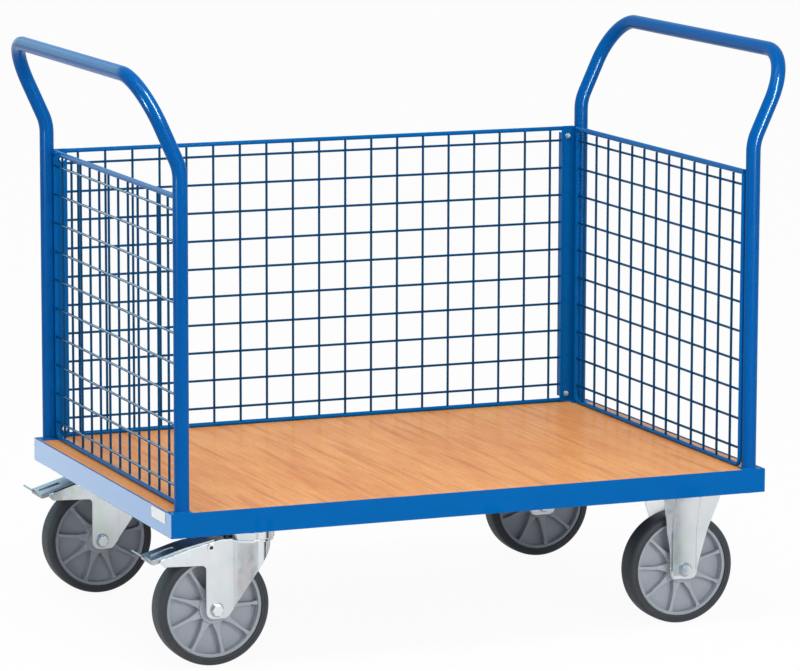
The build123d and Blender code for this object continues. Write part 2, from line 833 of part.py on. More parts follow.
# The deck board drops into the frame and is notched round the corner plates
with BuildPart() as deck_board:
    with BuildSketch(Plane.XY.offset(deck_bottom)) as deck_outline:
        Rectangle(2 * (inner_length - board_gap), 2 * (inner_width - board_gap))
        for across in (1, -1):
            for along in (1, -1):
                with Locations((along * half_length, across * half_width)):
                    Rectangle(
                        2 * (half_length - notch_inner_x + notch_gap),
                        2 * (half_width - notch_inner_y + notch_gap),
                        mode=Mode.SUBTRACT,
                    )
        inner_corners = deck_outline.vertices().sort_by(lambda v: max(abs(v.X) / half_length, abs(v.Y) / half_width))
        fillet(inner_corners[:4], notch_radius)
    extrude(amount=board_thickness)
    fillet(deck_board.faces().sort_by(Axis.Z)[-1].edges(), board_edge_radius)

# Castor pads lie level with the rail flanges, cross tubes stand on them
with BuildPart() as castor_pads:
    with BuildSketch(Plane.XY.offset(castor_height)):
        for x, y in castor_seats:
            with Locations((x, math.copysign(pad_y, y))):
                Rectangle(pad_length, pad_width)
        with Locations(*castor_bolt_places):
            Circle(castor_bolt_radius + bolt_hole_gap, mode=Mode.SUBTRACT)
    extrude(amount=pad_wall)

# Box tubes run across under the deck, the middle one on the rail flanges themselves
short_run = 2 * (half_width - rail_flange - cross_tube_gap)
long_run = 2 * (inner_width - cross_tube_gap)
tube_level = (pad_top + deck_bottom) / 2
tube_rise = min(cross_tube_height, deck_bottom - pad_top)
tube_places = [
    (swivel_x - cross_tube_offset, short_run),
    (swivel_x + cross_tube_offset, short_run),
    (fixed_plate_x - cross_tube_offset, short_run),
    (fixed_plate_x + cross_tube_offset, short_run),
    (centre_tube_x, long_run),
]
with BuildPart() as cross_tubes:
    for x, run in tube_places:
        with BuildSketch(side_plane(x, 0, tube_level)):
            Rectangle(cross_tube_width, tube_rise)
            Rectangle(
                cross_tube_width - 2 * cross_tube_wall,
                tube_rise - 2 * cross_tube_wall,
                mode=Mode.SUBTRACT,
            )
        extrude(amount=run / 2, both=True)

# Threaded plugs close the lower ends of the posts and take the hoop screws
with BuildPart() as hoop_plugs:
    with BuildSketch(Plane.XY.offset(flange_top)):
        with Locations(*posts):
            Circle(tube_radius - tube_wall - plug_gap)
            Circle(hoop_screw_radius + thread_gap, mode=Mode.SUBTRACT)
    extrude(amount=plug_height)

# The rod frame of the back panel, with a lug at each bolt
bolt_levels = [panel_top - panel_bolt_inset, panel_bottom + panel_bolt_inset]
lug_places = []
bolt_places = []
for level in bolt_levels:
    for along in (1, -1):
        lug_places.append((along * (lug_inner + lug_width / 2), level))
        bolt_places.append((along * panel_bolt_x, level))

with BuildPart() as back_rod_frame:
    with BuildLine():
        FilletPolyline(
            (0, back_panel_y, panel_top),
            (back_half_width, back_panel_y, panel_top),
            (back_half_width, back_panel_y, panel_bottom),
            (-back_half_width, back_panel_y, panel_bottom),
            (-back_half_width, back_panel_y, panel_top),
            (0, back_panel_y, panel_top),
            radius=[0, rod_corner_radius, rod_corner_radius, rod_corner_radius, rod_corner_radius],
        )
    with BuildSketch(end_plane(0, back_panel_y, panel_top)):
        Circle(rod_radius)
    sweep()
    with BuildSketch(side_plane(0, lug_y)):
        with Locations(*lug_places):
            Rectangle(lug_width, lug_height)
    extrude(amount=-lug_wall)
    with BuildSketch(side_plane(0, lug_y)):
        with Locations(*bolt_places):
            Circle(panel_bolt_radius + bolt_hole_gap)
    extrude(amount=-lug_wall, mode=Mode.SUBTRACT)

with BuildPart() as back_mesh:
    with BuildSketch(side_plane(0, back_panel_y)):
        with Locations((0, panel_middle)):
            with GridLocations(wire_pitch, 1, back_wires, 1):
                Rectangle(wire_width, panel_height - rod_diameter)
        with Locations((0, cross_middle)):
            with GridLocations(1, wire_pitch, 1, cross_wires):
                Rectangle(2 * back_mesh_reach, wire_width)
    extrude(amount=wire_width / 2, both=True)


def back_strip(side):
    """An angle up the inner side of a back post, drilled for the panel bolts."""
    low = deck_top + strip_lift
    high = panel_top + strip_rise
    leg_low = panel_bottom + rod_radius + strip_leg_gap
    leg_high = panel_top - rod_radius - strip_leg_gap
    with BuildPart() as strip:
        with BuildSketch(side_plane(0, strip_y)):
            with Locations((side * strip_middle, (low + high) / 2)):
                RectangleRounded(strip_width, high - low, strip_corner_radius)
            for level in bolt_levels:
                with Locations((side * panel_bolt_x, level)):
                    Circle(panel_bolt_radius + bolt_hole_gap, mode=Mode.SUBTRACT)
        extrude(amount=-strip_wall)
        with BuildSketch(side_plane(0, strip_y)):
            with Locations((side * (strip_inner + strip_wall / 2), (leg_low + leg_high) / 2)):
                Rectangle(strip_wall, leg_high - leg_low)
        extrude(amount=-strip_leg)
    return strip.part


# Swivel top plates carry the upper ball tracks and the kingpins
with BuildPart() as swivel_top_plates:
    with BuildSketch(Plane.XY.offset(plate_bottom)):
        for y in (front_y, rear_y):
            with Locations((swivel_x, y)):
                RectangleRounded(plate_length, plate_width, plate_corner_radius)
                Circle(kingpin_radius + thread_gap, mode=Mode.SUBTRACT)
        with Locations(*swivel_bolts):
            Circle(castor_bolt_radius + bolt_hole_gap, mode=Mode.SUBTRACT)
    extrude(amount=plate_wall)
    with BuildSketch(Plane.XY.offset(plate_bottom)):
        with Locations((swivel_x, front_y), (swivel_x, rear_y)):
            Circle(track_outer)
            Circle(track_inner, mode=Mode.SUBTRACT)
    extrude(amount=-track_depth)

flange_level = crown_bottom - kingpin_gap
with BuildPart() as kingpins:
    for y in (front_y, rear_y):
        with BuildSketch(Plane.XY.offset(flange_level - kingpin_flange_wall - kingpin_head_height)):
            with Locations((swivel_x, y)):
                RegularPolygon(kingpin_head / 2, 6, major_radius=False)
        extrude(amount=kingpin_head_height)
        with BuildSketch(Plane.XY.offset(flange_level - kingpin_flange_wall)):
            with Locations((swivel_x, y)):
                Circle(kingpin_flange)
        extrude(amount=kingpin_flange_wall)
        with BuildSketch(Plane.XY.offset(flange_level)):
            with Locations((swivel_x, y)):
                Circle(kingpin_radius)
        extrude(amount=castor_height - flange_level)

os.makedirs("parts", exist_ok=True)

front_holes = [(-post_x, -post_y), (post_x, -post_y)]
rear_holes = [(-post_x, post_y), (post_x, post_y)]
keep(angle_rail((0, -1, 0), half_length, half_width, front_holes), "front_rail")
keep(angle_rail((0, 1, 0), half_length, half_width, rear_holes), "rear_rail")
keep(angle_rail((-1, 0, 0), half_width, half_length, []), "left_end_rail")
keep(angle_rail((1, 0, 0), half_width, half_length, []), "right_end_rail")
keep(corner_plates.part, "corner_plates")
keep(deck_board.part, "deck_board")
keep(castor_pads.part, "castor_pads")
keep(cross_tubes.part, "cross_tubes")
keep(hoop_plugs.part, "hoop_plugs")
keep(back_rod_frame.part, "back_rod_frame")
keep(back_mesh.part, "back_mesh")
keep(swivel_top_plates.part, "swivel_top_plates")
keep(kingpins.part, "kingpins")

for side_name, side in (("left", -1), ("right", 1)):
    keep(hoop(side), f"{side_name}_hoop")
    keep(end_top_rail(side), f"{side_name}_top_rail")
    keep(end_rod(side), f"{side_name}_end_rod")
    keep(end_mesh(side), f"{side_name}_end_mesh")
    keep(back_strip(side), f"{side_name}_back_strip")

screw_plane = Plane.XY.offset(castor_height)
hoop_screws = hex_group(
    posts, screw_plane, castor_bolt_flats, castor_bolt_head, hoop_screw_radius, plug_height * 0.75
)
keep(hoop_screws, "hoop_screws")

panel_plane = Plane(origin=(0, strip_y, 0), x_dir=(-1, 0, 0), z_dir=(0, 1, 0))
panel_bolt_length = strip_wall + lug_wall + panel_nut_height + panel_bolt_spare
panel_points = [(-x, z) for x, z in bolt_places]
panel_bolts = hex_group(
    panel_points, panel_plane, panel_bolt_flats, panel_bolt_head, panel_bolt_radius, panel_bolt_length
)
keep(panel_bolts, "back_panel_bolts")
panel_nuts = nut_group(
    panel_points,
    panel_plane.offset(strip_wall + lug_wall),
    panel_bolt_flats,
    panel_nut_height,
    panel_bolt_radius,
)
keep(panel_nuts, "back_panel_nuts")

swivel_bolt_length = plate_wall + pad_wall + castor_nut_height + castor_bolt_spare
with BuildPart() as castor_bolts:
    add(
        hex_group(
            swivel_bolts,
            Plane.XY.offset(plate_bottom),
            castor_bolt_flats,
            castor_bolt_head,
            castor_bolt_radius,
            swivel_bolt_length,
        )
    )
    add(
        hex_group(
            fixed_bolts,
            Plane.XY.offset(castor_height - bracket_wall),
            castor_bolt_flats,
            castor_bolt_head,
            castor_bolt_radius,
            swivel_bolt_length,
        )
    )
keep(castor_bolts.part, "castor_bolts")
castor_nuts = nut_group(
    castor_bolt_places,
    Plane.XY.offset(pad_top),
    castor_bolt_flats,
    castor_nut_height,
    castor_bolt_radius,
)
keep(castor_nuts, "castor_nuts")

fixed_axles = [(fixed_x, front_y), (fixed_x, rear_y)]
keep(axle_tube(fixed_axles), "fixed_axle_tubes")
keep(axle_bolts(fixed_axles, fixed_outside), "fixed_axle_bolts")
keep(axle_nuts(fixed_axles, fixed_outside), "fixed_axle_nuts")

turns = {
    "front_left": spoke_turn_front_left,
    "rear_left": spoke_turn_rear_left,
    "front_right": spoke_turn_front_right,
    "rear_right": spoke_turn_rear_right,
}
for row_name, y in (("front", front_y), ("rear", rear_y)):
    keep(fork(y), f"{row_name}_fork")
    keep(race_ring(y), f"{row_name}_race_ring")
    keep(race_balls(y), f"{row_name}_race_balls")
    keep(axle_tube([(wheel_x, y)]), f"{row_name}_axle_tube")
    keep(axle_bolts([(wheel_x, y)], leg_outer), f"{row_name}_axle_bolt")
    keep(axle_nuts([(wheel_x, y)], leg_outer), f"{row_name}_axle_nut")
    keep(pedal_pin(y), f"{row_name}_pedal_pin")
    keep(pedal(y), f"{row_name}_pedal")
    keep(brake_shoe(y), f"{row_name}_brake_shoe")
    keep(fixed_bracket(y), f"{row_name}_fixed_bracket")
    for end_name, x in (("left", wheel_x), ("right", fixed_x)):
        keep(tyre(x, y), f"{row_name}_{end_name}_tyre")
        keep(rim(x, y, turns[f"{row_name}_{end_name}"]), f"{row_name}_{end_name}_rim")
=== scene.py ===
"""Looks of a mesh-sided platform trolley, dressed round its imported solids.

Lengths are metres in the frame of the solids: X runs along the platform towards the fixed castors,
Y towards the back panel and Z up from the floor.
"""

import logging
import math
from dataclasses import dataclass
from enum import Enum

import bmesh
import bpy
from mathutils import Matrix, Vector


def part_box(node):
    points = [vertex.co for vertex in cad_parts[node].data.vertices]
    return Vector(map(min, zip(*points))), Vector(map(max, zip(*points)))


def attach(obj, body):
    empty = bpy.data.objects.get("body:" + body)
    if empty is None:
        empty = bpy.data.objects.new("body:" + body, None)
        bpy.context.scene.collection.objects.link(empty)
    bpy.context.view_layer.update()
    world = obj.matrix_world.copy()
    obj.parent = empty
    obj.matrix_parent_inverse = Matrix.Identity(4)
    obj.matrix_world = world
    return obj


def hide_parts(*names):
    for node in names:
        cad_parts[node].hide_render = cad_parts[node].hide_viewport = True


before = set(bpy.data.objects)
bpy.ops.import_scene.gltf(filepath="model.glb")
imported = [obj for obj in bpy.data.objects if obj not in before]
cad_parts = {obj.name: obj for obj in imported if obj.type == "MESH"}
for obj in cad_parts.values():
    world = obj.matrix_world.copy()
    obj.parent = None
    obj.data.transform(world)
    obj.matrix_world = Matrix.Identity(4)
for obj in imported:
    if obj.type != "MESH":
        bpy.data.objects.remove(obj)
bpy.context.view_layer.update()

log = logging.getLogger("trolley")

Colour = tuple[float, float, float]
Point = tuple[float, float, float]
Pair = tuple[float, float]
Outline = list[Pair]
Node = bpy.types.Node
Socket = bpy.types.NodeSocket
Tree = bpy.types.NodeTree
Material = bpy.types.Material
Piece = bpy.types.Object
Shape = bmesh.types.BMesh
Ring = list[bmesh.types.BMEdge]

SMOOTH_ANGLE = math.radians(32.0)
CRISP_ANGLE = math.radians(35.0)
FLAT_ANGLE = math.radians(0.4)
MERGE_DISTANCE = 1e-6

# Places of the colour sockets on a Mix node
MIX_FACTOR = 0
MIX_FIRST = 6
MIX_SECOND = 7
MIX_RESULT = 2

# How the shared groups weigh and cut their noise
NOISE_SPAN = (0.3, 0.7)
BROAD_SHARE = 0.7
FINE_SHARE = 0.3
FINE_RATIO = 7.3
SPECK_RATIO = 0.31
SPECK_SPAN = (0.66, 0.74)
SPECK_SHARE = 0.35

# The colour that blue paint gives its reflections
BLUE_SHINE = (0.62, 0.88, 1.0)


class Place(Enum):
    """A place on the platform that pieces are named for."""

    @property
    def word(self) -> str:
        """The word that the names of its pieces start with."""
        return self.name.lower()


class Side(Place):
    """The two ends of the platform, each with the sign of X there."""

    LEFT = -1
    RIGHT = 1


class Row(Place):
    """The two long sides of the platform, each with the sign of Y there."""

    FRONT = -1
    REAR = 1


class Slot(Enum):
    """The finishes that the record names."""

    PAINT = "blue_paint"
    ZINC = "zinc_plate"
    BOARD = "deck_board"
    RIM = "rim_plastic"
    TYRE = "tyre_rubber"
    SHOE = "shoe_rubber"


class Graph:
    """Short calls for placing and linking the nodes of one shader tree."""

    def __init__(self, tree: Tree) -> None:
        """Keep the tree.

        Args:
            tree: The node tree of a material, a world or a group.
        """
        self.tree = tree

    def add(self, kind: str, **settings: object) -> Node:
        """Place a node.

        Args:
            kind: Blender's name for the type of node.
            settings: Properties of the node, by name.

        Returns:
            The new node.
        """
        node = self.tree.nodes.new(kind)
        for name, value in settings.items():
            setattr(node, name, value)
        return node

    def feed(self, socket: Socket, value: object) -> None:
        """Link a socket to another, or set its value.

        Args:
            socket: The input that is fed.
            value: An output socket, or a plain value.
        """
        if isinstance(value, Socket):
            self.tree.links.new(value, socket)
        elif isinstance(value, tuple) and len(value) == 3 and socket.type == "RGBA":
            socket.default_value = (*value, 1.0)
        else:
            socket.default_value = value

    def noise(self, vector: Socket, scale: object, detail: float, rough: float = 0.5) -> Socket:
        """Place a noise texture.

        Args:
            vector: Where the pattern is read.
            scale: Blobs per metre, as a value or a socket.
            detail: Octaves of finer noise.
            rough: Strength of each finer octave.

        Returns:
            The value of the noise, from 0 to 1.
        """
        node = self.add("ShaderNodeTexNoise")
        self.feed(node.inputs["Vector"], vector)
        self.feed(node.inputs["Scale"], scale)
        node.inputs["Detail"].default_value = detail
        node.inputs["Roughness"].default_value = rough
        return node.outputs["Fac"]

    def stretch(self, vector: Socket, scale: Point, turn: Point = (0.0, 0.0, 0.0)) -> Socket:
        """Scale and turn the coordinates that a pattern reads.

        Args:
            vector: The coordinates.
            scale: Factor along each axis.
            turn: Turn about each axis in radians.

        Returns:
            The changed coordinates.
        """
        node = self.add("ShaderNodeMapping")
        self.feed(node.inputs["Vector"], vector)
        node.inputs["Scale"].default_value = scale
        node.inputs["Rotation"].default_value = turn
        return node.outputs["Vector"]

    def remap(self, value: Socket, span: Pair, low: object, high: object) -> Socket:
        """Map a value to another range.

        Args:
            value: The value.
            span: The part of its range that is used.
            low: What the start of the span gives.
            high: What the end of the span gives.

        Returns:
            The mapped value, held inside the new range.
        """
        node = self.add("ShaderNodeMapRange", interpolation_type="SMOOTHSTEP")
        self.feed(node.inputs["Value"], value)
        node.inputs["From Min"].default_value = span[0]
        node.inputs["From Max"].default_value = span[1]
        self.feed(node.inputs["To Min"], low)
        self.feed(node.inputs["To Max"], high)
        return node.outputs["Result"]

    def mix(self, factor: object, first: object, second: object) -> Socket:
        """Mix two colours.

        Args:
            factor: Share of the second colour.
            first: The first colour.
            second: The second colour.

        Returns:
            The mixed colour.
        """
        node = self.add("ShaderNodeMix", data_type="RGBA")
        self.feed(node.inputs[MIX_FACTOR], factor)
        self.feed(node.inputs[MIX_FIRST], first)
        self.feed(node.inputs[MIX_SECOND], second)
        return node.outputs[MIX_RESULT]

    def calculate(self, operation: str, first: object, second: object) -> Socket:
        """Work out a value from two others.

        Args:
            operation: Blender's name for the operation.
            first: The first value.
            second: The second value.

        Returns:
            The result.
        """
        node = self.add("ShaderNodeMath", operation=operation)
        self.feed(node.inputs[0], first)
        self.feed(node.inputs[1], second)
        return node.outputs[0]

    def bump(self, height: Socket, depth: float, under: object = None) -> Socket:
        """Turn a height into a surface normal.

        Args:
            height: The height, from 0 to 1.
            depth: How high 1 stands, in metres.
            under: The normal that this one is laid over, where there is one.

        Returns:
            The normal.
        """
        node = self.add("ShaderNodeBump")
        node.inputs["Strength"].default_value = 1.0
        node.inputs["Distance"].default_value = depth
        self.feed(node.inputs["Height"], height)
        if under is not None:
            self.feed(node.inputs["Normal"], under)
        return node.outputs["Normal"]

    def place(self, group: Tree, **values: object) -> Node:
        """Place a shared group.

        Args:
            group: The group.
            values: Its inputs, by name.

        Returns:
            The node that holds the group.
        """
        node = self.add("ShaderNodeGroup")
        node.node_tree = group
        for name, value in values.items():
            self.feed(node.inputs[name], value)
        return node


def new_group(name: str, inputs: dict[str, str], outputs: dict[str, str]) -> tuple[Graph, Node, Node]:
    """Start a shared shader group.

    Args:
        name: Name of the group.
        inputs: Socket type of each input, by name.
        outputs: Socket type of each output, by name.

    Returns:
        The graph of the group, its input node and its output node.
    """
    tree = bpy.data.node_groups.new(name, "ShaderNodeTree")
    for direction, sockets in (("INPUT", inputs), ("OUTPUT", outputs)):
        for socket, kind in sockets.items():
            tree.interface.new_socket(socket, in_out=direction, socket_type=kind)
    graph = Graph(tree)
    return graph, graph.add("NodeGroupInput"), graph.add("NodeGroupOutput")


def make_clouds() -> Tree:
    """Make the group that drifts a finish softly between two colours and two roughnesses.

    Returns:
        The group.
    """
    number = "NodeSocketFloat"
    colour = "NodeSocketColor"
    graph, start, end = new_group(
        "soft_clouds",
        {"Vector": "NodeSocketVector", "Scale": number, "Dark": colour, "Light": colour,
         "Smooth": number, "Rough": number},
        {"Colour": colour, "Roughness": number},
    )
    broad = graph.noise(start.outputs["Vector"], start.outputs["Scale"], detail=2.0)
    fine_scale = graph.calculate("MULTIPLY", start.outputs["Scale"], FINE_RATIO)
    fine = graph.noise(start.outputs["Vector"], fine_scale, detail=4.0, rough=0.6)
    broad_part = graph.calculate("MULTIPLY", broad, BROAD_SHARE)
    fine_part = graph.calculate("MULTIPLY", fine, FINE_SHARE)
    tone = graph.remap(graph.calculate("ADD", broad_part, fine_part), NOISE_SPAN, 0.0, 1.0)
    graph.feed(end.inputs["Colour"], graph.mix(tone, start.outputs["Dark"], start.outputs["Light"]))
    gloss = graph.remap(fine, NOISE_SPAN, start.outputs["Smooth"], start.outputs["Rough"])
    graph.feed(end.inputs["Roughness"], gloss)
    return graph.tree


def make_grain() -> Tree:
    """Make the group that gives a fine skin, such as orange peel or moulding grain.

    Returns:
        The group.
    """
    number = "NodeSocketFloat"
    graph, start, end = new_group(
        "fine_skin",
        {"Vector": "NodeSocketVector", "Scale": number},
        {"Height": number, "Specks": number},
    )
    skin = graph.noise(start.outputs["Vector"], start.outputs["Scale"], detail=2.0, rough=0.55)
    graph.feed(end.inputs["Height"], skin)
    speck_scale = graph.calculate("MULTIPLY", start.outputs["Scale"], SPECK_RATIO)
    speck = graph.noise(start.outputs["Vector"], speck_scale, detail=1.0)
    graph.feed(end.inputs["Specks"], graph.remap(speck, SPECK_SPAN, 0.0, 1.0))
    return graph.tree


CLOUDS = make_clouds()
GRAIN = make_grain()


def new_material(name: str) -> tuple[Material, Graph, Node, Socket]:
    """Start a material with a Principled shader.

    Args:
        name: Name of the material.

    Returns:
        The material, its graph, its shader node and the object coordinates.
    """
    material = bpy.data.materials.new(name)
    material.use_nodes = True
    graph = Graph(material.node_tree)
    shader = material.node_tree.nodes["Principled BSDF"]
    place = graph.add("ShaderNodeTexCoord").outputs["Object"]
    return material, graph, shader, place


@dataclass(frozen=True)
class Skin:
    """An even finish with soft drift in its colour and gloss, and a fine skin."""

    name: str
    dark: Colour
    light: Colour
    speck: Colour
    drift: float
    smooth: float
    rough: float
    grain: float
    depth: float
    metal: float = 0.0
    gloss: float = 0.5
    shine: Colour = (1.0, 1.0, 1.0)

    def make(self) -> Material:
        """Make the material.

        Returns:
            The material.
        """
        material, graph, shader, place = new_material(self.name)
        clouds = graph.place(
            CLOUDS,
            Vector=place,
            Scale=self.drift,
            Dark=self.dark,
            Light=self.light,
            Smooth=self.smooth,
            Rough=self.rough,
        )
        skin = graph.place(GRAIN, Vector=place, Scale=self.grain)
        specks = graph.calculate("MULTIPLY", skin.outputs["Specks"], SPECK_SHARE)
        graph.feed(shader.inputs["Base Color"], graph.mix(specks, clouds.outputs["Colour"], self.speck))
        graph.feed(shader.inputs["Roughness"], clouds.outputs["Roughness"])
        graph.feed(shader.inputs["Normal"], graph.bump(skin.outputs["Height"], self.depth))
        shader.inputs["Metallic"].default_value = self.metal
        shader.inputs["Specular IOR Level"].default_value = self.gloss
        shader.inputs["Specular Tint"].default_value = (*self.shine, 1.0)
        return material


@dataclass(frozen=True)
class PassivatedZinc:
    """Bright zinc on pressed sheet: faint green and rose tints, and the low waves that pressing leaves."""

    name: str = "bright_zinc"
    dark: Colour = (0.62, 0.660, 0.685)
    light: Colour = (0.73, 0.760, 0.775)
    green: Colour = (0.62, 0.715, 0.645)
    rose: Colour = (0.76, 0.715, 0.735)
    smooth: float = 0.13
    rough: float = 0.21
    drift: float = 12.0
    tint: float = 34.0
    grain: float = 700.0
    depth: float = 0.000002
    wave: float = 26.0
    wave_depth: float = 0.00022
    wave_stretch: Point = (1.0, 1.0, 0.3)
    tint_stretch: Point = (1.0, 1.0, 0.35)
    tint_share: float = 0.8
    green_span: Pair = (0.54, 0.70)
    rose_span: Pair = (0.30, 0.46)

    def make(self) -> Material:
        """Make the material.

        Returns:
            The material.
        """
        material, graph, shader, place = new_material(self.name)
        clouds = graph.place(
            CLOUDS,
            Vector=place,
            Scale=self.drift,
            Dark=self.dark,
            Light=self.light,
            Smooth=self.smooth,
            Rough=self.rough,
        )
        skin = graph.place(GRAIN, Vector=place, Scale=self.grain)
        waves = graph.noise(graph.stretch(place, self.wave_stretch), self.wave, detail=1.0)
        tints = graph.noise(graph.stretch(place, self.tint_stretch), self.tint, detail=2.0)
        greenness = graph.remap(tints, self.green_span, 0.0, self.tint_share)
        rosiness = graph.remap(tints, self.rose_span, self.tint_share, 0.0)
        greened = graph.mix(greenness, clouds.outputs["Colour"], self.green)
        graph.feed(shader.inputs["Base Color"], graph.mix(rosiness, greened, self.rose))
        graph.feed(shader.inputs["Roughness"], clouds.outputs["Roughness"])
        pressed = graph.bump(waves, self.wave_depth)
        graph.feed(shader.inputs["Normal"], graph.bump(skin.outputs["Height"], self.depth, pressed))
        shader.inputs["Metallic"].default_value = 1.0
        return material


@dataclass(frozen=True)
class BeechBoard:
    """A sealed board with a beech face, its grain across the trolley along Y, and painted shade below: its
    underside is coloured near black for the shade under the deck.
    """

    name: str = "beech_board"
    pale: Colour = (0.88, 0.400, 0.130)
    warm: Colour = (0.77, 0.295, 0.085)
    streak: Colour = (0.60, 0.195, 0.052)
    fleck: Colour = (0.42, 0.130, 0.035)
    # Painted shade: the near-black colour of the board's underside and how far up from its lower face it
    # reaches
    film: Colour = (0.030, 0.021, 0.016)
    film_depth: float = 0.0006
    plank: float = 9.0
    plank_stretch: Point = (1.0, 0.35, 1.0)
    fibre: float = 110.0
    fibre_stretch: Point = (1.0, 0.035, 1.0)
    face_span: Pair = (0.36, 0.64)
    streak_scale: float = 62.0
    streak_stretch: Point = (1.0, 0.055, 1.0)
    streak_turn: Point = (0.0, 0.0, 0.035)
    streak_span: Pair = (0.52, 0.72)
    streak_share: float = 0.62
    fleck_scale: float = 520.0
    fleck_stretch: Point = (1.0, 0.12, 1.0)
    fleck_span: Pair = (0.60, 0.74)
    fleck_share: float = 0.45
    fleck_depth: float = 0.00003
    smooth: float = 0.46
    rough: float = 0.58
    gloss: float = 0.03
    coat: float = 0.18
    coat_rough: float = 0.22

    def make(self) -> Material:
        """Make the material.

        Returns:
            The material.
        """
        material, graph, shader, place = new_material(self.name)
        bands = graph.noise(graph.stretch(place, self.plank_stretch), self.plank, detail=3.0, rough=0.6)
        fibres = graph.noise(graph.stretch(place, self.fibre_stretch), self.fibre, detail=4.0, rough=0.65)
        slanted = graph.stretch(place, self.streak_stretch, self.streak_turn)
        streaks = graph.noise(slanted, self.streak_scale, detail=2.0)
        flecks = graph.noise(graph.stretch(place, self.fleck_stretch), self.fleck_scale, detail=1.0)
        weave = graph.calculate("MULTIPLY", graph.calculate("ADD", bands, fibres), 0.5)
        face = graph.mix(graph.remap(weave, self.face_span, 0.0, 1.0), self.pale, self.warm)
        darkness = graph.remap(streaks, self.streak_span, 0.0, self.streak_share)
        streaked = graph.mix(darkness, face, self.streak)
        marks = graph.remap(flecks, self.fleck_span, 0.0, self.fleck_share)
        flecked = graph.mix(marks, streaked, self.fleck)
        height = graph.add("ShaderNodeSeparateXYZ")
        graph.feed(height.inputs["Vector"], place)
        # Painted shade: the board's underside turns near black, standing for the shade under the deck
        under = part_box("deck_board")[0].z + self.film_depth
        film = graph.remap(height.outputs["Z"], (under, under + self.film_depth), 1.0, 0.0)
        graph.feed(shader.inputs["Base Color"], graph.mix(film, flecked, self.film))
        graph.feed(shader.inputs["Roughness"], graph.remap(fibres, NOISE_SPAN, self.smooth, self.rough))
        graph.feed(shader.inputs["Normal"], graph.bump(flecks, self.fleck_depth))
        shader.inputs["Specular IOR Level"].default_value = self.gloss
        shader.inputs["Coat Weight"].default_value = self.coat
        shader.inputs["Coat Roughness"].default_value = self.coat_rough
        return material


PAINT = Skin("powder_blue", (0.000, 0.108, 0.372), (0.000, 0.117, 0.396), (0.000, 0.13, 0.42),
             drift=6.0, smooth=0.05, rough=0.09, grain=900.0, depth=0.000001, gloss=0.07, shine=BLUE_SHINE)
# Painted shade: a darker copy of the blue paint for the hoops, with a broader gloss
SHADED_HOOP_BLUE = Skin("hoop_blue", (0.000, 0.088, 0.334), (0.000, 0.096, 0.356), (0.000, 0.107, 0.378),
            drift=6.0, smooth=0.19, rough=0.22, grain=900.0, depth=0.000001, gloss=0.07, shine=BLUE_SHINE)
# Painted shade: a darker copy of the blue paint for the thin wire
SHADED_WIRE_BLUE = Skin("wire_blue", (0.001, 0.052, 0.150), (0.001, 0.060, 0.172), (0.001, 0.07, 0.19),
            drift=9.0, smooth=0.10, rough=0.18, grain=900.0, depth=0.000002, gloss=0.08, shine=BLUE_SHINE)
# Painted shade: a darker, rougher copy of the zinc, for the pedals, the axle washers and the left slopes
# of the bracket ribs
SHADED_ZINC = Skin("dull_zinc", (0.36, 0.38, 0.39), (0.46, 0.48, 0.49), (0.42, 0.44, 0.45),
            drift=40.0, smooth=0.26, rough=0.36, grain=900.0, depth=0.000003, metal=1.0)
POLISHED = Skin("polished_zinc", (0.66, 0.69, 0.71), (0.78, 0.80, 0.81), (0.74, 0.76, 0.77),
                drift=30.0, smooth=0.12, rough=0.22, grain=900.0, depth=0.000002, metal=1.0)
# Painted light: a pale, matt, non-metal copy of the zinc, for the brackets' faces towards the wheel
LIT_INSIDE = Skin("zinc_inside", (0.74, 0.76, 0.77), (0.80, 0.81, 0.82), (0.77, 0.78, 0.79),
              drift=40.0, smooth=0.40, rough=0.52, grain=900.0, depth=0.000003, gloss=0.3)
RIM = Skin("moulded_grey", (0.345, 0.372, 0.412), (0.390, 0.416, 0.456), (0.42, 0.44, 0.48),
           drift=14.0, smooth=0.40, rough=0.52, grain=1400.0, depth=0.00003, gloss=0.3)
TYRE = Skin("tyre_rubber", (0.039, 0.042, 0.047), (0.051, 0.054, 0.060), (0.068, 0.069, 0.073),
            drift=22.0, smooth=0.46, rough=0.60, grain=1100.0, depth=0.00004, gloss=0.3)
SHOE = Skin("shoe_rubber", (0.016, 0.016, 0.018), (0.030, 0.030, 0.032), (0.05, 0.05, 0.05),
            drift=40.0, smooth=0.60, rough=0.80, grain=1300.0, depth=0.00008, gloss=0.3)
LABEL = Skin("blank_label", (0.92, 0.925, 0.93), (0.95, 0.955, 0.96), (0.90, 0.905, 0.91),
             drift=30.0, smooth=0.40, rough=0.55, grain=800.0, depth=0.00002, gloss=0.2)
FLAG = Skin("flag_cloth", (0.050, 0.055, 0.060), (0.065, 0.070, 0.075), (0.07, 0.07, 0.07),
            drift=9.0, smooth=0.85, rough=0.95, grain=300.0, depth=0.0001, gloss=0.1)
SCREEN = Skin("screen_cloth", (0.60, 0.63, 0.66), (0.64, 0.67, 0.70), (0.65, 0.67, 0.69),
              drift=9.0, smooth=0.85, rough=0.95, grain=300.0, depth=0.0001, gloss=0.1)
FLOOR = Skin("pale_floor", (0.90, 0.90, 0.905), (0.92, 0.92, 0.925), (0.91, 0.91, 0.91),
             drift=0.8, smooth=0.80, rough=0.95, grain=60.0, depth=0.0001, gloss=0.1)


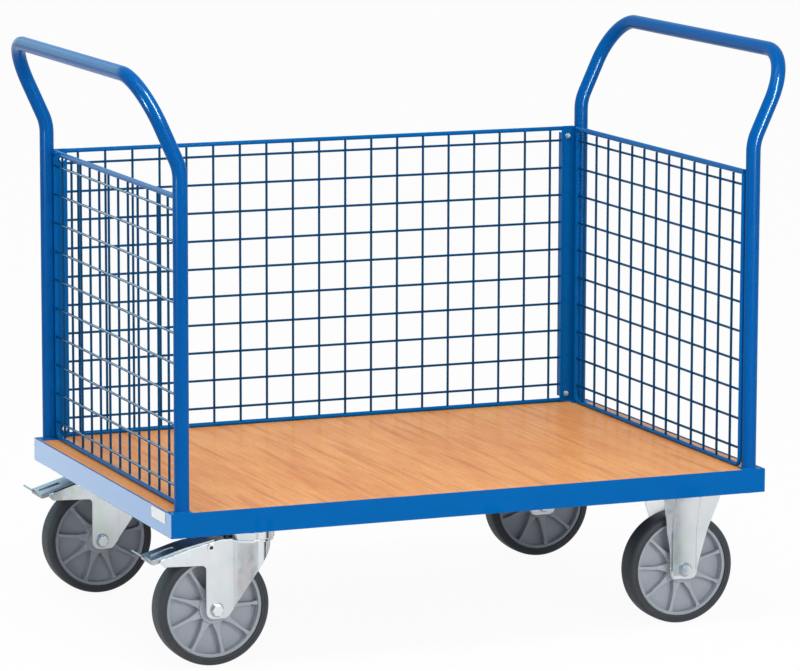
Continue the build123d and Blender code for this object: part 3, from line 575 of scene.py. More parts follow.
class Paints:
    """The finished materials, made once each, by the slot of the record that they stand for."""

    def __init__(self) -> None:
        """Make every material of the object."""
        self.by_slot = {
            Slot.PAINT: PAINT.make(),
            Slot.ZINC: PassivatedZinc().make(),
            Slot.BOARD: BeechBoard().make(),
            Slot.RIM: RIM.make(),
            Slot.TYRE: TYRE.make(),
            Slot.SHOE: SHOE.make(),
        }
        self.label = LABEL.make()
        self.hoop = SHADED_HOOP_BLUE.make()
        self.wire = SHADED_WIRE_BLUE.make()
        self.polished = POLISHED.make()
        self.dull = SHADED_ZINC.make()
        self.inside = LIT_INSIDE.make()

    def dress_nodes(self) -> None:
        """Give every solid the finish of its own slot, and the race rings their polish."""
        by_name = {slot.value: material for slot, material in self.by_slot.items()}
        rings = {f"{row.word}_race_ring" for row in Row}
        for name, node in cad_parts.items():
            for place in node.material_slots:
                slot = place.material.name.split(".")[0]
                place.material = self.polished if name in rings else by_name[slot]
                log.info("dressed %s in %s", name, slot)


def finish_mesh(name: str, shape: Shape, material: Material) -> Piece:
    """Turn a bmesh into an object of the scene with smooth faces and crisp edges.

    Args:
        name: Name of the piece.
        shape: The bmesh, which is freed.
        material: The finish.

    Returns:
        The object.
    """
    mesh = bpy.data.meshes.new(name)
    shape.to_mesh(mesh)
    shape.free()
    carried = mesh.attributes.get("custom_normal")
    if carried is not None:
        mesh.attributes.remove(carried)
    mesh.shade_smooth()
    mesh.set_sharp_from_angle(angle=SMOOTH_ANGLE)
    mesh.materials.append(material)
    piece = bpy.data.objects.new(name, mesh)
    bpy.context.scene.collection.objects.link(piece)
    return piece


def fit_piece(piece: Piece, body: str, slot: Slot, *nodes: str) -> Piece:
    """Let a piece ride on a body and hide the solids that it stands for.

    Args:
        piece: The piece.
        body: The body that carries it.
        slot: The finish that it takes in the record; not used.
        nodes: Solids that it stands for.

    Returns:
        The piece.
    """
    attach(piece, body)
    if nodes:
        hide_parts(*nodes)
    log.info("built %s on %s", piece.name, body)
    return piece


def add_rod(shape: Shape, start: Vector, end: Vector, radius: float, sides: int) -> None:
    """Add a straight round rod.

    Args:
        shape: The bmesh that takes it.
        start: Centre of one end.
        end: Centre of the other end.
        radius: Radius of the rod.
        sides: Faces round it.
    """
    run = end - start
    turn = Vector((0.0, 0.0, 1.0)).rotation_difference(run).to_matrix().to_4x4()
    bmesh.ops.create_cone(
        shape,
        cap_ends=True,
        cap_tris=False,
        segments=sides,
        radius1=radius,
        radius2=radius,
        depth=run.length,
        matrix=Matrix.Translation((start + end) / 2) @ turn,
    )


def add_spun(shape: Shape, outline: Outline, centre: Vector, axis: Vector, steps: int) -> None:
    """Add a closed ring, turned from its outline.

    Args:
        shape: The bmesh that takes it.
        outline: Pairs of radius and distance along the axis, in order round the section.
        centre: The point that the distances start from.
        axis: Direction of the axis, one metre long.
        steps: Faces round the ring.
    """
    out = axis.orthogonal().normalized()
    points = [shape.verts.new(centre + out * radius + axis * along) for radius, along in outline]
    lines = [shape.edges.new((points[i - 1], points[i])) for i in range(len(points))]
    bmesh.ops.spin(
        shape,
        geom=points + lines,
        cent=centre,
        axis=axis,
        angle=math.tau,
        steps=steps,
        use_merge=True,
    )
    bmesh.ops.remove_doubles(shape, verts=shape.verts[:], dist=MERGE_DISTANCE)
    bmesh.ops.recalc_face_normals(shape, faces=shape.faces[:])


def bevel_edges(shape: Shape, edges: Ring, width: float, segments: int) -> None:
    """Round some edges of a shape.

    Args:
        shape: The bmesh.
        edges: The edges.
        width: How far the rounding reaches from an edge.
        segments: Faces across it.
    """
    bmesh.ops.bevel(
        shape,
        geom=edges,
        offset=width,
        segments=segments,
        profile=0.5,
        affect="EDGES",
        clamp_overlap=False,
        material=-1,
    )


def middle_of(node: str) -> Vector:
    """The middle of a solid's box at rest."""
    low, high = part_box(node)
    return (low + high) / 2


def soft_copy(node: str, name: str, material: Material, width: float, segments: int = 2) -> Piece:
    """Copy a solid and round its crisp edges, as pressing, moulding or tumbling leaves them.

    Args:
        node: The solid.
        name: Name of the piece.
        material: The finish.
        width: How far the rounding reaches from an edge.
        segments: Faces across it.

    Returns:
        The piece.
    """
    shape = bmesh.new()
    shape.from_mesh(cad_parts[node].data)
    bmesh.ops.remove_doubles(shape, verts=shape.verts[:], dist=MERGE_DISTANCE)
    bmesh.ops.dissolve_limit(shape, angle_limit=FLAT_ANGLE, verts=shape.verts[:], edges=shape.edges[:])
    crisp = [edge for edge in shape.edges if edge.is_manifold and edge.calc_face_angle() > CRISP_ANGLE]
    bevel_edges(shape, crisp, width, segments)
    piece = finish_mesh(name, shape, material)
    even = piece.modifiers.new("even_faces", "WEIGHTED_NORMAL")
    even.keep_sharp = True
    return piece


@dataclass
class WirePanels:
    """The welded wire in both end panels and the back panel: round wires in two layers."""

    wire_radius: float = 0.0023
    layer: float = 0.0018
    pitch: float = 0.053
    top_drop: float = 0.0185
    crossings: int = 10
    sides: int = 12

    def levels(self, high: float) -> list[float]:
        """Heights of the level wires, counted down from the top rail's lower side."""
        return [high - self.top_drop - self.pitch * i for i in range(self.crossings)]

    def places(self, reach: float) -> list[float]:
        """Places of the uprights, centred on a panel that reaches this far to each side."""
        half = int(reach / self.pitch)
        return [self.pitch * i for i in range(-half, half + 1)]

    def add_wire(self, shape: Shape, start: Point, end: Point) -> None:
        """Add one wire from a start to an end."""
        add_rod(shape, Vector(start), Vector(end), self.wire_radius, self.sides)

    def build_end(self, side: Side, material: Material) -> Piece:
        """Build the wire of one end panel, with the level wires on its outer face.

        Args:
            side: Which end.
            material: The finish.

        Returns:
            The piece.
        """
        low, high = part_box(f"{side.word}_end_mesh")
        plane = (low.x + high.x) / 2
        inner = plane - side.value * self.layer
        outer = plane + side.value * self.layer
        shape = bmesh.new()
        for y in self.places(high.y):
            self.add_wire(shape, (inner, y, low.z), (inner, y, high.z))
        for z in self.levels(high.z):
            self.add_wire(shape, (outer, low.y, z), (outer, high.y, z))
        return finish_mesh(f"{side.word}_end_wires", shape, material)

    def build_back(self, material: Material) -> Piece:
        """Build the wire of the back panel, with the uprights towards the load.

        Args:
            material: The finish.

        Returns:
            The piece.
        """
        low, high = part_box("back_mesh")
        plane = (low.y + high.y) / 2
        near = plane - self.layer
        far = plane + self.layer
        shape = bmesh.new()
        for x in self.places(high.x):
            self.add_wire(shape, (x, near, low.z), (x, near, high.z))
        for z in self.levels(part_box("left_end_mesh")[1].z):
            self.add_wire(shape, (low.x, far, z), (high.x, far, z))
        return finish_mesh("back_wires", shape, material)

    def build(self, paints: Paints) -> None:
        """Build all three panels of wire.

        Args:
            paints: The materials.
        """
        # The wire takes the darker copy of the blue paint: painted shade
        for side in Side:
            piece = self.build_end(side, paints.wire)
            fit_piece(piece, "chassis", Slot.PAINT, f"{side.word}_end_mesh")
        fit_piece(self.build_back(paints.wire), "chassis", Slot.PAINT, "back_mesh")


@dataclass
class BlankLabel:
    """The small bare plate stuck on the left end rail."""

    front_gap: float = 0.030
    length: float = 0.0715
    top_gap: float = 0.0028
    height: float = 0.0192
    thickness: float = 0.0005
    corner: float = 0.002
    corner_segments: int = 4

    def build(self, paints: Paints) -> None:
        """Build the plate.

        Args:
            paints: The materials.
        """
        low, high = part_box("left_end_rail")
        middle = Vector((
            low.x - self.thickness / 2,
            low.y + self.front_gap + self.length / 2,
            high.z - self.top_gap - self.height / 2,
        ))
        size = (self.thickness, self.length, self.height, 1.0)
        shape = bmesh.new()
        bmesh.ops.create_cube(shape, size=1.0, matrix=Matrix.Translation(middle) @ Matrix.Diagonal(size))
        corners = [
            edge for edge in shape.edges
            if abs(edge.verts[0].co.x - edge.verts[1].co.x) > self.thickness / 2
        ]
        bevel_edges(shape, corners, self.corner, self.corner_segments)
        fit_piece(finish_mesh("blank_label", shape, paints.label), "chassis", Slot.PAINT)


@dataclass
class BentHoops:
    """Both push hoops: one round tube each, bent outward above the panels and across at the top."""

    tube: float = 0.013
    rise: float = 0.156
    bend: float = 0.080
    corner: float = 0.090
    sides: int = 48
    bend_steps: int = 14
    corner_steps: int = 32

    def corners(self, side: Side) -> list[Vector]:
        """Find the points where the tube's straight runs would meet.

        Args:
            side: Which end.

        Returns:
            The points, from the front foot to the rear one.
        """
        low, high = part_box(f"{side.word}_hoop")
        inner, outer = (high.x, low.x) if side is Side.LEFT else (low.x, high.x)
        post = inner + side.value * self.tube
        bar = outer - side.value * self.tube
        across = high.y - self.tube
        top = high.z - self.tube
        front = [
            Vector((post, -across, low.z)),
            Vector((post, -across, top - self.rise)),
            Vector((bar, -across, top)),
        ]
        rear = [Vector((point.x, across, point.z)) for point in reversed(front)]
        return front + rear

    def run(self, shape: Shape, ring: Ring, step: Vector) -> Ring:
        """Draw a straight run of tube out of a ring.

        Args:
            shape: The bmesh that takes it.
            ring: The edges that the run starts from.
            step: The way and length of the run.

        Returns:
            The edges that it ends in.
        """
        drawn = bmesh.ops.extrude_edge_only(shape, edges=ring)["geom"]
        points = {part for part in drawn if isinstance(part, bmesh.types.BMVert)}
        bmesh.ops.translate(shape, verts=list(points), vec=step)
        edges = [part for part in drawn if isinstance(part, bmesh.types.BMEdge)]
        return [edge for edge in edges if points.issuperset(edge.verts)]

    def turn(
        self,
        shape: Shape,
        ring: Ring,
        centre: Vector,
        axis: Vector,
        angle: float,
        steps: int,
    ) -> Ring:
        """Turn a bend of tube out of a ring.

        Args:
            shape: The bmesh that takes it.
            ring: The edges that the bend starts from.
            centre: The middle of the bend.
            axis: The axis of the bend, one metre long.
            angle: How far it turns, in radians.
            steps: Rings along it.

        Returns:
            The edges that it ends in.
        """
        points = list({point for edge in ring for point in edge.verts})
        last = bmesh.ops.spin(
            shape,
            geom=points + ring,
            cent=centre,
            axis=axis,
            angle=angle,
            steps=steps,
        )["geom_last"]
        return [part for part in last if isinstance(part, bmesh.types.BMEdge)]

    def build_one(self, side: Side, material: Material) -> Piece:
        """Build one hoop.

        Args:
            side: Which end.
            material: The finish.

        Returns:
            The piece.
        """
        corners = self.corners(side)
        shape = bmesh.new()
        place = Matrix.Translation(corners[0])
        bmesh.ops.create_circle(shape, cap_ends=False, segments=self.sides, radius=self.tube, matrix=place)
        foot = shape.edges[:]
        ring = foot
        here = corners[0]
        bends = ((self.bend, self.bend_steps), (self.corner, self.corner_steps))
        for i, (radius, steps) in enumerate(bends + bends[::-1], start=1):
            before = (corners[i] - corners[i - 1]).normalized()
            after = (corners[i + 1] - corners[i]).normalized()
            angle = before.angle(after)
            back = radius * math.tan(angle / 2)
            start = corners[i] - before * back
            axis = before.cross(after).normalized()
            ring = self.run(shape, ring, start - here)
            ring = self.turn(shape, ring, start + axis.cross(before) * radius, axis, angle, steps)
            here = corners[i] + after * back
        ring = self.run(shape, ring, corners[-1] - here)
        bmesh.ops.edgeloop_fill(shape, edges=foot)
        bmesh.ops.edgeloop_fill(shape, edges=ring)
        bmesh.ops.recalc_face_normals(shape, faces=shape.faces[:])
        return finish_mesh(f"{side.word}_bent_hoop", shape, material)

    def build(self, paints: Paints) -> None:
        """Build both hoops.

        Args:
            paints: The materials.
        """
        for side in Side:
            # The hoops take the darker copy of the blue paint: painted shade
            piece = self.build_one(side, paints.hoop)
            fit_piece(piece, "chassis", Slot.PAINT, f"{side.word}_hoop")


@dataclass
class FrameWelds:
    """Weld beads where the hoops stand on the frame."""

    tube: float = 0.013
    foot_bead: float = 0.0030
    sink: float = 0.0003
    floor_sink: float = 0.001
    bead_shape: tuple[Pair, ...] = ((1.0, 0.0), (0.75, 0.45), (0.3, 0.85))
    steps: int = 40

    def add_feet(self, shape: Shape, side: Side) -> None:
        """Add the beads round both feet of one hoop.

        Args:
            shape: The bmesh that takes them.
            side: Which hoop.
        """
        low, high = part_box(f"{side.word}_hoop")
        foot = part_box("front_rail")[1].z - self.floor_sink
        tube = self.tube
        bead = self.foot_bead
        inner = high.x if side is Side.LEFT else low.x
        x = inner + side.value * tube
        outline = [
            (tube - self.sink, 0.0),
            *((tube + bead * out, bead * up) for out, up in self.bead_shape),
            (tube - self.sink, bead),
        ]
        for row in Row:
            y = row.value * (high.y - tube)
            add_spun(shape, outline, Vector((x, y, foot)), Vector((0.0, 0.0, 1.0)), self.steps)

    def build(self, paints: Paints) -> None:
        """Build the beads.

        Args:
            paints: The materials.
        """
        shape = bmesh.new()
        for side in Side:
            self.add_feet(shape, side)
        fit_piece(finish_mesh("hoop_foot_welds", shape, paints.by_slot[Slot.PAINT]), "chassis", Slot.PAINT)


@dataclass
class Wheel:
    """One castor wheel: a rubber tyre on a moulded rim."""

    row: Row
    side: Side
    steps: int = 112
    shoulder: float = 0.0085
    groove_in: float = 0.0035
    groove_width: float = 0.0022
    groove_depth: float = 0.0007
    groove_wall: float = 0.3
    crown: float = 0.0010
    crown_share: float = 0.3
    shoulder_angle: float = math.radians(56.0)
    shoulder_segments: int = 7
    rim_edge: float = 0.0011

    @property
    def word(self) -> str:
        """The words that the names of this wheel's pieces start with."""
        return f"{self.row.word}_{self.side.word}"

    def build_tyre(self, material: Material) -> Piece:
        """Build the tyre with rounded shoulders, a low crown and a moulded groove on each face.

        Args:
            material: The finish.

        Returns:
            The piece.
        """
        low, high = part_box(f"{self.word}_tyre")
        rim_low, rim_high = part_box(f"{self.word}_rim")
        outer = (high.x - low.x) / 2
        seat = (rim_high.x - rim_low.x) / 2
        half = (high.y - low.y) / 2
        middle = middle_of(f"{self.word}_tyre")
        groove = seat + self.groove_in
        face = [
            (seat, half),
            (groove, half),
            (groove + self.groove_width * self.groove_wall, half - self.groove_depth),
            (groove + self.groove_width * (1.0 - self.groove_wall), half - self.groove_depth),
            (groove + self.groove_width, half),
            (outer - self.crown, half),
            (outer, half * self.crown_share),
        ]
        outline = face + [(radius, -along) for radius, along in reversed(face)]
        shape = bmesh.new()
        add_spun(shape, outline, middle, Vector((0.0, 1.0, 0.0)), self.steps)
        corners = [
            edge for edge in shape.edges
            if edge.is_manifold and edge.calc_face_angle() > self.shoulder_angle
            and ((edge.verts[0].co + edge.verts[1].co) / 2 - middle).length > (outer + groove) / 2
        ]
        bevel_edges(shape, corners, self.shoulder, self.shoulder_segments)
        return finish_mesh(f"{self.word}_tyre_rubber", shape, material)

    def build(self, paints: Paints) -> None:
        """Build the wheel.

        Args:
            paints: The materials.
        """
        body = f"{self.word}_wheel"
        tyre = self.build_tyre(paints.by_slot[Slot.TYRE])
        fit_piece(tyre, body, Slot.TYRE, f"{self.word}_tyre")
        plastic = paints.by_slot[Slot.RIM]
        rim = soft_copy(f"{self.word}_rim", f"{self.word}_moulded_rim", plastic, self.rim_edge, segments=3)
        fit_piece(rim, body, Slot.RIM, f"{self.word}_rim")


@dataclass
class AxleWashers:
    """The round washers under one axle's bolt head and nut."""

    head_height: float = 0.0075
    bore: float = 0.0062
    radius: float = 0.0128
    thickness: float = 0.0011
    chamfer: float = 0.0004
    steps: int = 48

    def add_one(self, shape: Shape, centre: Vector, way: float) -> None:
        """Add one washer.

        Args:
            shape: The bmesh that takes it.
            centre: Where the axle meets the sheet.
            way: Sign along Y, away from the sheet.
        """
        outline = [
            (self.bore, 0.0),
            (self.radius, 0.0),
            (self.radius, self.thickness - self.chamfer),
            (self.radius - self.chamfer, self.thickness),
            (self.bore, self.thickness),
        ]
        add_spun(shape, outline, centre, Vector((0.0, way, 0.0)), self.steps)

    def build(self, name: str, near: Vector, far: Vector, material: Material) -> Piece:
        """Build both washers of an axle.

        Args:
            name: Name of the piece.
            near: Where the axle meets the sheet under the head.
            far: Where it meets the sheet under the nut.
            material: The finish.

        Returns:
            The piece.
        """
        shape = bmesh.new()
        self.add_one(shape, near, -1.0)
        self.add_one(shape, far, 1.0)
        return finish_mesh(name, shape, material)


@dataclass
class SwivelCastor:
    """The pressed fork, pedal and fasteners of one swivel castor."""

    row: Row
    fork_edge: float = 0.0009
    pedal_edge: float = 0.0007
    bolt_edge: float = 0.0006
    ring_edge: float = 0.0005

    def build(self, paints: Paints) -> None:
        """Build the castor's pieces.

        Args:
            paints: The materials.
        """
        word = self.row.word
        body = f"{word}_swivel"
        zinc = paints.by_slot[Slot.ZINC]
        fork = soft_copy(f"{word}_fork", f"{word}_pressed_fork", zinc, self.fork_edge, segments=3)
        fit_piece(fork, body, Slot.ZINC, f"{word}_fork")
        # The pedal takes the darker copy of the zinc: painted shade
        pedal = soft_copy(f"{word}_pedal", f"{word}_foot_pedal", paints.dull, self.pedal_edge)
        fit_piece(pedal, f"{word}_pedal_body", Slot.ZINC, f"{word}_pedal")
        edges = {"axle_bolt": self.bolt_edge, "axle_nut": self.bolt_edge, "pedal_pin": self.ring_edge}
        for part, edge in edges.items():
            piece = soft_copy(f"{word}_{part}", f"{word}_soft_{part}", paints.polished, edge)
            fit_piece(piece, body, Slot.ZINC, f"{word}_{part}")
        washers = AxleWashers()
        axle = middle_of(f"{word}_axle_bolt")
        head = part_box(f"{word}_axle_bolt")[0]
        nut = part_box(f"{word}_axle_nut")[0]
        near = Vector((axle.x, head.y + washers.head_height, axle.z))
        far = Vector((axle.x, nut.y, axle.z))
        # The washers take the darker copy of the zinc: painted shade round the bolt head and nut
        fit_piece(washers.build(f"{word}_axle_washers", near, far, paints.dull), body, Slot.ZINC)


@dataclass
class BracketSlopes:
    """The sloping sides of the raised middle that is pressed into each leg of a fixed bracket."""

    left: float = 0.024
    right: float = 0.021
    slope: float = 0.0030
    widening: float = 0.0040
    face: float = 0.0370
    proud: float = 0.0030
    sink: float = 0.0006
    foot: float = 0.101
    rise: float = 0.0698
    flare_rise: float = 0.0640
    flare_out: float = 0.0151

    def add_one(self, shape: Shape, corner: Vector, turn: float, way: float) -> None:
        """Add one slope along a leg.

        Args:
            shape: The bmesh that takes it.
            corner: Foot of the raised middle's edge, on its face.
            turn: Sign along X, away from the raised middle.
            way: Sign along Y, away from the wheel.
        """
        base = corner - Vector((0.0, way * self.proud, 0.0))
        points = (
            corner,
            base + Vector((turn * self.slope, -way * self.sink, 0.0)),
            base - Vector((turn * self.sink, way * self.sink, 0.0)),
        )
        face = shape.faces.new([shape.verts.new(point) for point in points])
        for step in (Vector((0.0, 0.0, self.rise)), Vector((0.0, way * self.flare_out, self.flare_rise))):
            moved = bmesh.ops.extrude_face_region(shape, geom=[face])["geom"]
            face = next(part for part in moved if isinstance(part, bmesh.types.BMFace))
            bmesh.ops.translate(shape, verts=list(face.verts), vec=step)
        outer = max(face.verts, key=lambda vert: turn * vert.co.x)
        outer.co.x += turn * self.widening

    def build(self, row: Row, side: Side, material: Material) -> Piece:
        """Build the slopes on one side of both legs of a bracket.

        Args:
            row: Which side of the trolley.
            side: Which side of the raised middle.
            material: The finish.

        Returns:
            The piece.
        """
        middle = middle_of(f"{row.word}_right_tyre")
        reach = self.left if side is Side.LEFT else self.right
        shape = bmesh.new()
        for way in (-1.0, 1.0):
            corner = Vector((middle.x + side.value * reach, middle.y + way * self.face, self.foot))
            self.add_one(shape, corner, side.value, way)
        bmesh.ops.recalc_face_normals(shape, faces=shape.faces[:])
        return finish_mesh(f"{row.word}_bracket_{side.word}_slopes", shape, material)


@dataclass
class FixedCastors:
    """The pressed brackets and fasteners of both fixed castors, and the bolts of the back panel."""

    bracket_edge: float = 0.0004
    bolt_edge: float = 0.0006
    inward: float = 0.7

    def line_inside(self, bracket: Piece, middle: float, material: Material) -> None:
        """Give the faces that look at the wheel a pale, matt copy of the zinc: painted light that stands
        for the bright reflection on the plate there.

        Args:
            bracket: The piece.
            middle: Where the wheel stands across the trolley.
            material: The finish.
        """
        bracket.data.materials.append(material)
        for face in bracket.data.polygons:
            inward = face.normal.y * math.copysign(1.0, middle - face.center.y)
            face.material_index = int(inward > self.inward)

    def build(self, paints: Paints) -> None:
        """Build the pieces of both castors.

        Args:
            paints: The materials.
        """
        zinc = paints.by_slot[Slot.ZINC]
        slopes = BracketSlopes()
        for row in Row:
            node = f"{row.word}_fixed_bracket"
            bracket = soft_copy(node, f"{row.word}_pressed_bracket", zinc, self.bracket_edge, segments=3)
            # The faces towards the wheel get the pale copy of the zinc: painted light
            self.line_inside(bracket, middle_of(f"{row.word}_right_tyre").y, paints.inside)
            fit_piece(bracket, "chassis", Slot.ZINC, node)
            # Painted shade: the left slopes take the darker copy of the zinc, the right ones the bright
            # zinc
            fit_piece(slopes.build(row, Side.LEFT, paints.dull), "chassis", Slot.ZINC)
            fit_piece(slopes.build(row, Side.RIGHT, zinc), "chassis", Slot.ZINC)
        for part in ("fixed_axle_bolts", "fixed_axle_nuts", "back_panel_bolts"):
            piece = soft_copy(part, f"soft_{part}", paints.polished, self.bolt_edge)
            fit_piece(piece, "chassis", Slot.ZINC, part)
        washers = AxleWashers()
        axle = middle_of("fixed_axle_bolts")
        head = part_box("fixed_axle_bolts")[0]
        reach = middle_of("front_right_tyre").y - head.y - washers.head_height
        for row in Row:
            wheel = middle_of(f"{row.word}_right_tyre")
            near = Vector((axle.x, wheel.y - reach, axle.z))
            far = Vector((axle.x, wheel.y + reach, axle.z))
            # The washers take the darker copy of the zinc: painted shade round the bolt heads and nuts
            piece = washers.build(f"{row.word}_fixed_washers", near, far, paints.dull)
            fit_piece(piece, "chassis", Slot.ZINC)


@dataclass
class Lamp:
    """One soft studio lamp."""

    name: str
    place: Point
    aim: Point
    size: Pair
    power: float
    only: tuple[str, ...] = ()
    shine_only: bool = False
    colour: Colour = (1.0, 1.0, 1.0)

    def build(self) -> None:
        """Hang the lamp, turn it to its aim and tie it to the pieces that it is meant for."""
        data = bpy.data.lights.new(self.name, "AREA")
        data.shape = "RECTANGLE"
        data.size, data.size_y = self.size
        data.energy = self.power
        data.color = self.colour
        lamp = bpy.data.objects.new(self.name, data)
        lamp.location = self.place
        lamp.rotation_euler = (Vector(self.aim) - Vector(self.place)).to_track_quat("-Z", "Y").to_euler()
        lamp.visible_camera = False
        lamp.visible_diffuse = not self.shine_only
        bpy.context.scene.collection.objects.link(lamp)
        if self.only:
            lit = bpy.data.collections.new(f"{self.name}_lights")
            for node in self.only:
                lit.objects.link(bpy.data.objects[node])
            lamp.light_linking.receiver_collection = lit


def left_panel(name: str, power: float, piece: str, colour: Colour) -> Lamp:
    """Describe a tinted panel behind the left end that one piece mirrors.

    Args:
        name: Name of the lamp.
        power: Its power in watts.
        piece: The piece that mirrors it.
        colour: Its colour.

    Returns:
        The lamp.
    """
    place = (-1.45, 2.75, 1.75)
    aim = (-0.61, 0.0, 1.03)
    size = (2.0, 1.8)
    return Lamp(name, place, aim, size, power, only=(piece,), shine_only=True, colour=colour)


@dataclass
class Flag:
    """One card on the floor that only mirrors see, so that bright plate shows its form."""

    name: str
    start: Pair
    end: Pair
    cloth: Skin = FLAG
    height: float = 0.22

    def build(self) -> None:
        """Stand the card on the floor."""
        start = Vector((*self.start, 0.0))
        end = Vector((*self.end, 0.0))
        run = end - start
        axes = Matrix((run, Vector((0.0, 0.0, self.height)), run.cross(Vector((0.0, 0.0, 1.0)))))
        middle = (start + end) / 2 + Vector((0.0, 0.0, self.height / 2))
        shape = bmesh.new()
        place = Matrix.Translation(middle) @ axes.transposed().to_4x4()
        bmesh.ops.create_grid(shape, x_segments=1, y_segments=1, size=0.5, matrix=place)
        card = finish_mesh(self.name, shape, self.cloth.make())
        card.visible_camera = False
        card.visible_diffuse = False
        card.visible_shadow = False


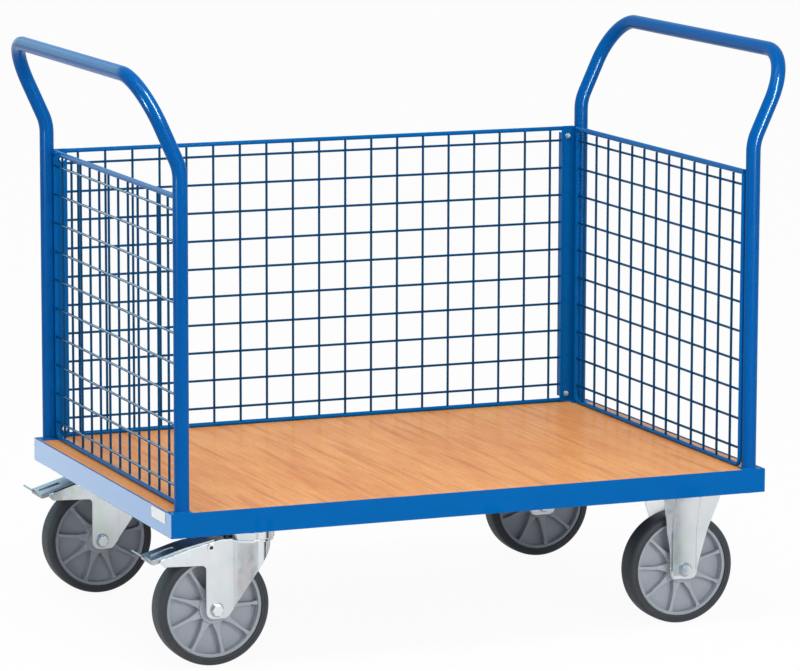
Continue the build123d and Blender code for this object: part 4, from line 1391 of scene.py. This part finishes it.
@dataclass
class Studio:
    """A pale floor, soft lamps, a white surround and the camera of the photograph."""

    camera_place: Point = (-2.9976, -7.3542, 1.7972)
    azimuth: float = -22.26
    elevation: float = 9.272
    roll: float = 0.141
    focal_pixels: float = 4425.585
    picture_width: float = 800.0
    sensor: float = 36.0
    far_clip: float = 200.0
    floor_size: float = 60.0
    daylight: float = 0.57
    mirror_light: float = 1.0
    mirror_tint: Colour = (0.48, 0.78, 1.0)
    floor_glow: float = 0.945
    mirror_glow: float = 0.45
    lamps: tuple[Lamp, ...] = (
        Lamp("key_lamp", (0.7, -3.5, 1.3), (0.0, 0.0, 0.45), (1.4, 1.4), 40.0),
        Lamp("side_lamp", (-3.3, -1.0, 0.9), (-0.5, 0.0, 0.3), (1.4, 1.4), 8.0),
        Lamp("top_lamp", (-0.8, -0.9, 3.6), (-0.1, 0.0, 0.3), (1.6, 1.6), 60.0),
        Lamp("back_panel", (-0.85, 1.7, 1.05), (-0.6, 0.0, 0.8), (1.5, 1.7), 2.0, shine_only=True),
        Lamp(
            "end_panel", (-0.78, 0.62, 0.13), (-0.564, 0.0, 0.25), (0.55, 0.27), 1.95,
            only=("left_end_rail",), shine_only=True, colour=(0.86, 0.98, 1.0),
        ),
        Lamp(
            "right_streak", (0.72, -2.40, 1.95), (0.0, 0.0, 0.95), (0.34, 2.5), 1150.0,
            only=("right_bent_hoop",), shine_only=True,
        ),
        Lamp(
            "left_streak", (0.38, -2.40, 2.90), (-0.60, -0.33, 1.0), (0.34, 3.0), 1800.0,
            only=("left_bent_hoop",), shine_only=True,
        ),
        Lamp(
            "side_streak", (-2.05, -0.72, 0.95), (-0.60, -0.35, 1.0), (0.10, 0.40), 100.0,
            only=("left_bent_hoop",), shine_only=True,
        ),
        left_panel("bar_panel", 13.0, "left_bent_hoop", (0.75, 1.0, 0.45)),
        left_panel("rail_panel", 16.0, "left_top_rail", (0.75, 1.0, 0.5)),
        left_panel("wire_panel", 70.0, "left_end_wires", (0.70, 0.95, 1.0)),
        Lamp(
            "leg_fill", (-0.30, -0.90, 0.14), (0.38, -0.28, 0.20), (0.2, 0.2), 9.0,
            only=("front_pressed_bracket",),
        ),
    )
    flags: tuple[Flag, ...] = (
        Flag("crease_flag", (-0.339, -0.58), (-0.330, -0.58)),
        Flag("nose_flag", (-0.318, -0.58), (-0.306, -0.58)),
        Flag("slope_flag", (0.10, -0.42), (0.10, -0.58)),
        Flag("middle_screen", (0.490, -0.58), (0.535, -0.58), SCREEN),
    )

    def build_camera(self) -> None:
        """Place the camera where the photograph was taken from."""
        turn = math.radians(self.azimuth)
        rise = math.radians(self.elevation)
        roll = math.radians(self.roll)
        back = Vector((math.sin(turn) * math.cos(rise), -math.cos(turn) * math.cos(rise), math.sin(rise)))
        right = Vector((0.0, 0.0, 1.0)).cross(back).normalized()
        up = back.cross(right)
        tilted_right = right * math.cos(roll) + up * math.sin(roll)
        tilted_up = up * math.cos(roll) - right * math.sin(roll)
        data = bpy.data.cameras.new("photo_camera")
        data.sensor_width = self.sensor
        data.lens = self.focal_pixels * self.sensor / self.picture_width
        data.clip_end = self.far_clip
        camera = bpy.data.objects.new("photo_camera", data)
        bpy.context.scene.collection.objects.link(camera)
        axes = Matrix((tilted_right, tilted_up, back)).transposed().to_4x4()
        camera.matrix_world = Matrix.Translation(self.camera_place) @ axes
        bpy.context.scene.camera = camera

    def by_ray(self, graph: Graph, seen: float, mirrored: float, carried: float) -> Socket:
        """Give a value by the kind of ray that reaches a surface or the world.

        Args:
            graph: The graph of a material or the world.
            seen: The value for rays from the camera.
            mirrored: The value for rays from mirrors and glass.
            carried: The value for rays that carry light.

        Returns:
            The value.
        """
        path = graph.add("ShaderNodeLightPath").outputs
        clear = graph.calculate("MAXIMUM", path["Is Glossy Ray"], path["Is Transmission Ray"])
        camera = graph.calculate("MULTIPLY", path["Is Camera Ray"], seen - carried)
        mirror = graph.calculate("MULTIPLY", clear, mirrored - carried)
        return graph.calculate("ADD", graph.calculate("ADD", camera, mirror), carried)

    def build_world(self) -> None:
        """Surround the scene with even white light."""
        world = bpy.data.worlds.new("white_surround")
        world.use_nodes = True
        bpy.context.scene.world = world
        graph = Graph(world.node_tree)
        light = world.node_tree.nodes["Background"]
        mirrored = graph.add("ShaderNodeLightPath").outputs["Is Glossy Ray"]
        graph.feed(light.inputs["Color"], graph.mix(mirrored, (1.0, 1.0, 1.0), self.mirror_tint))
        graph.feed(light.inputs["Strength"], self.by_ray(graph, 1.0, self.mirror_light, self.daylight))

    def build_floor(self) -> None:
        """Lay the floor, which stays near white for the camera and keeps the shadow."""
        shape = bmesh.new()
        bmesh.ops.create_grid(shape, x_segments=1, y_segments=1, size=self.floor_size / 2)
        material = FLOOR.make()
        graph = Graph(material.node_tree)
        glow = graph.add("ShaderNodeEmission")
        glow.inputs["Color"].default_value = (1.0, 1.0, 1.0, 1.0)
        blend = graph.add("ShaderNodeMixShader")
        share = self.by_ray(graph, self.floor_glow, self.mirror_glow, 0.0)
        graph.feed(blend.inputs[0], share)
        graph.feed(blend.inputs[1], material.node_tree.nodes["Principled BSDF"].outputs[0])
        graph.feed(blend.inputs[2], glow.outputs[0])
        graph.feed(material.node_tree.nodes["Material Output"].inputs["Surface"], blend.outputs[0])
        finish_mesh("studio_floor", shape, material)

    def build(self) -> None:
        """Set up the whole studio."""
        bpy.context.scene.view_settings.view_transform = "Standard"
        self.build_camera()
        self.build_world()
        self.build_floor()
        for lamp in self.lamps:
            lamp.build()
        for flag in self.flags:
            flag.build()


def main() -> None:
    """Build the materials, every piece and the studio in order."""
    logging.basicConfig(level=logging.INFO, format="%(message)s")
    paints = Paints()
    paints.dress_nodes()
    WirePanels().build(paints)
    BlankLabel().build(paints)
    BentHoops().build(paints)
    FrameWelds().build(paints)
    FixedCastors().build(paints)
    for row in Row:
        SwivelCastor(row).build(paints)
        for side in Side:
            Wheel(row, side).build(paints)
    Studio().build()


if __name__ == "__main__":
    main()
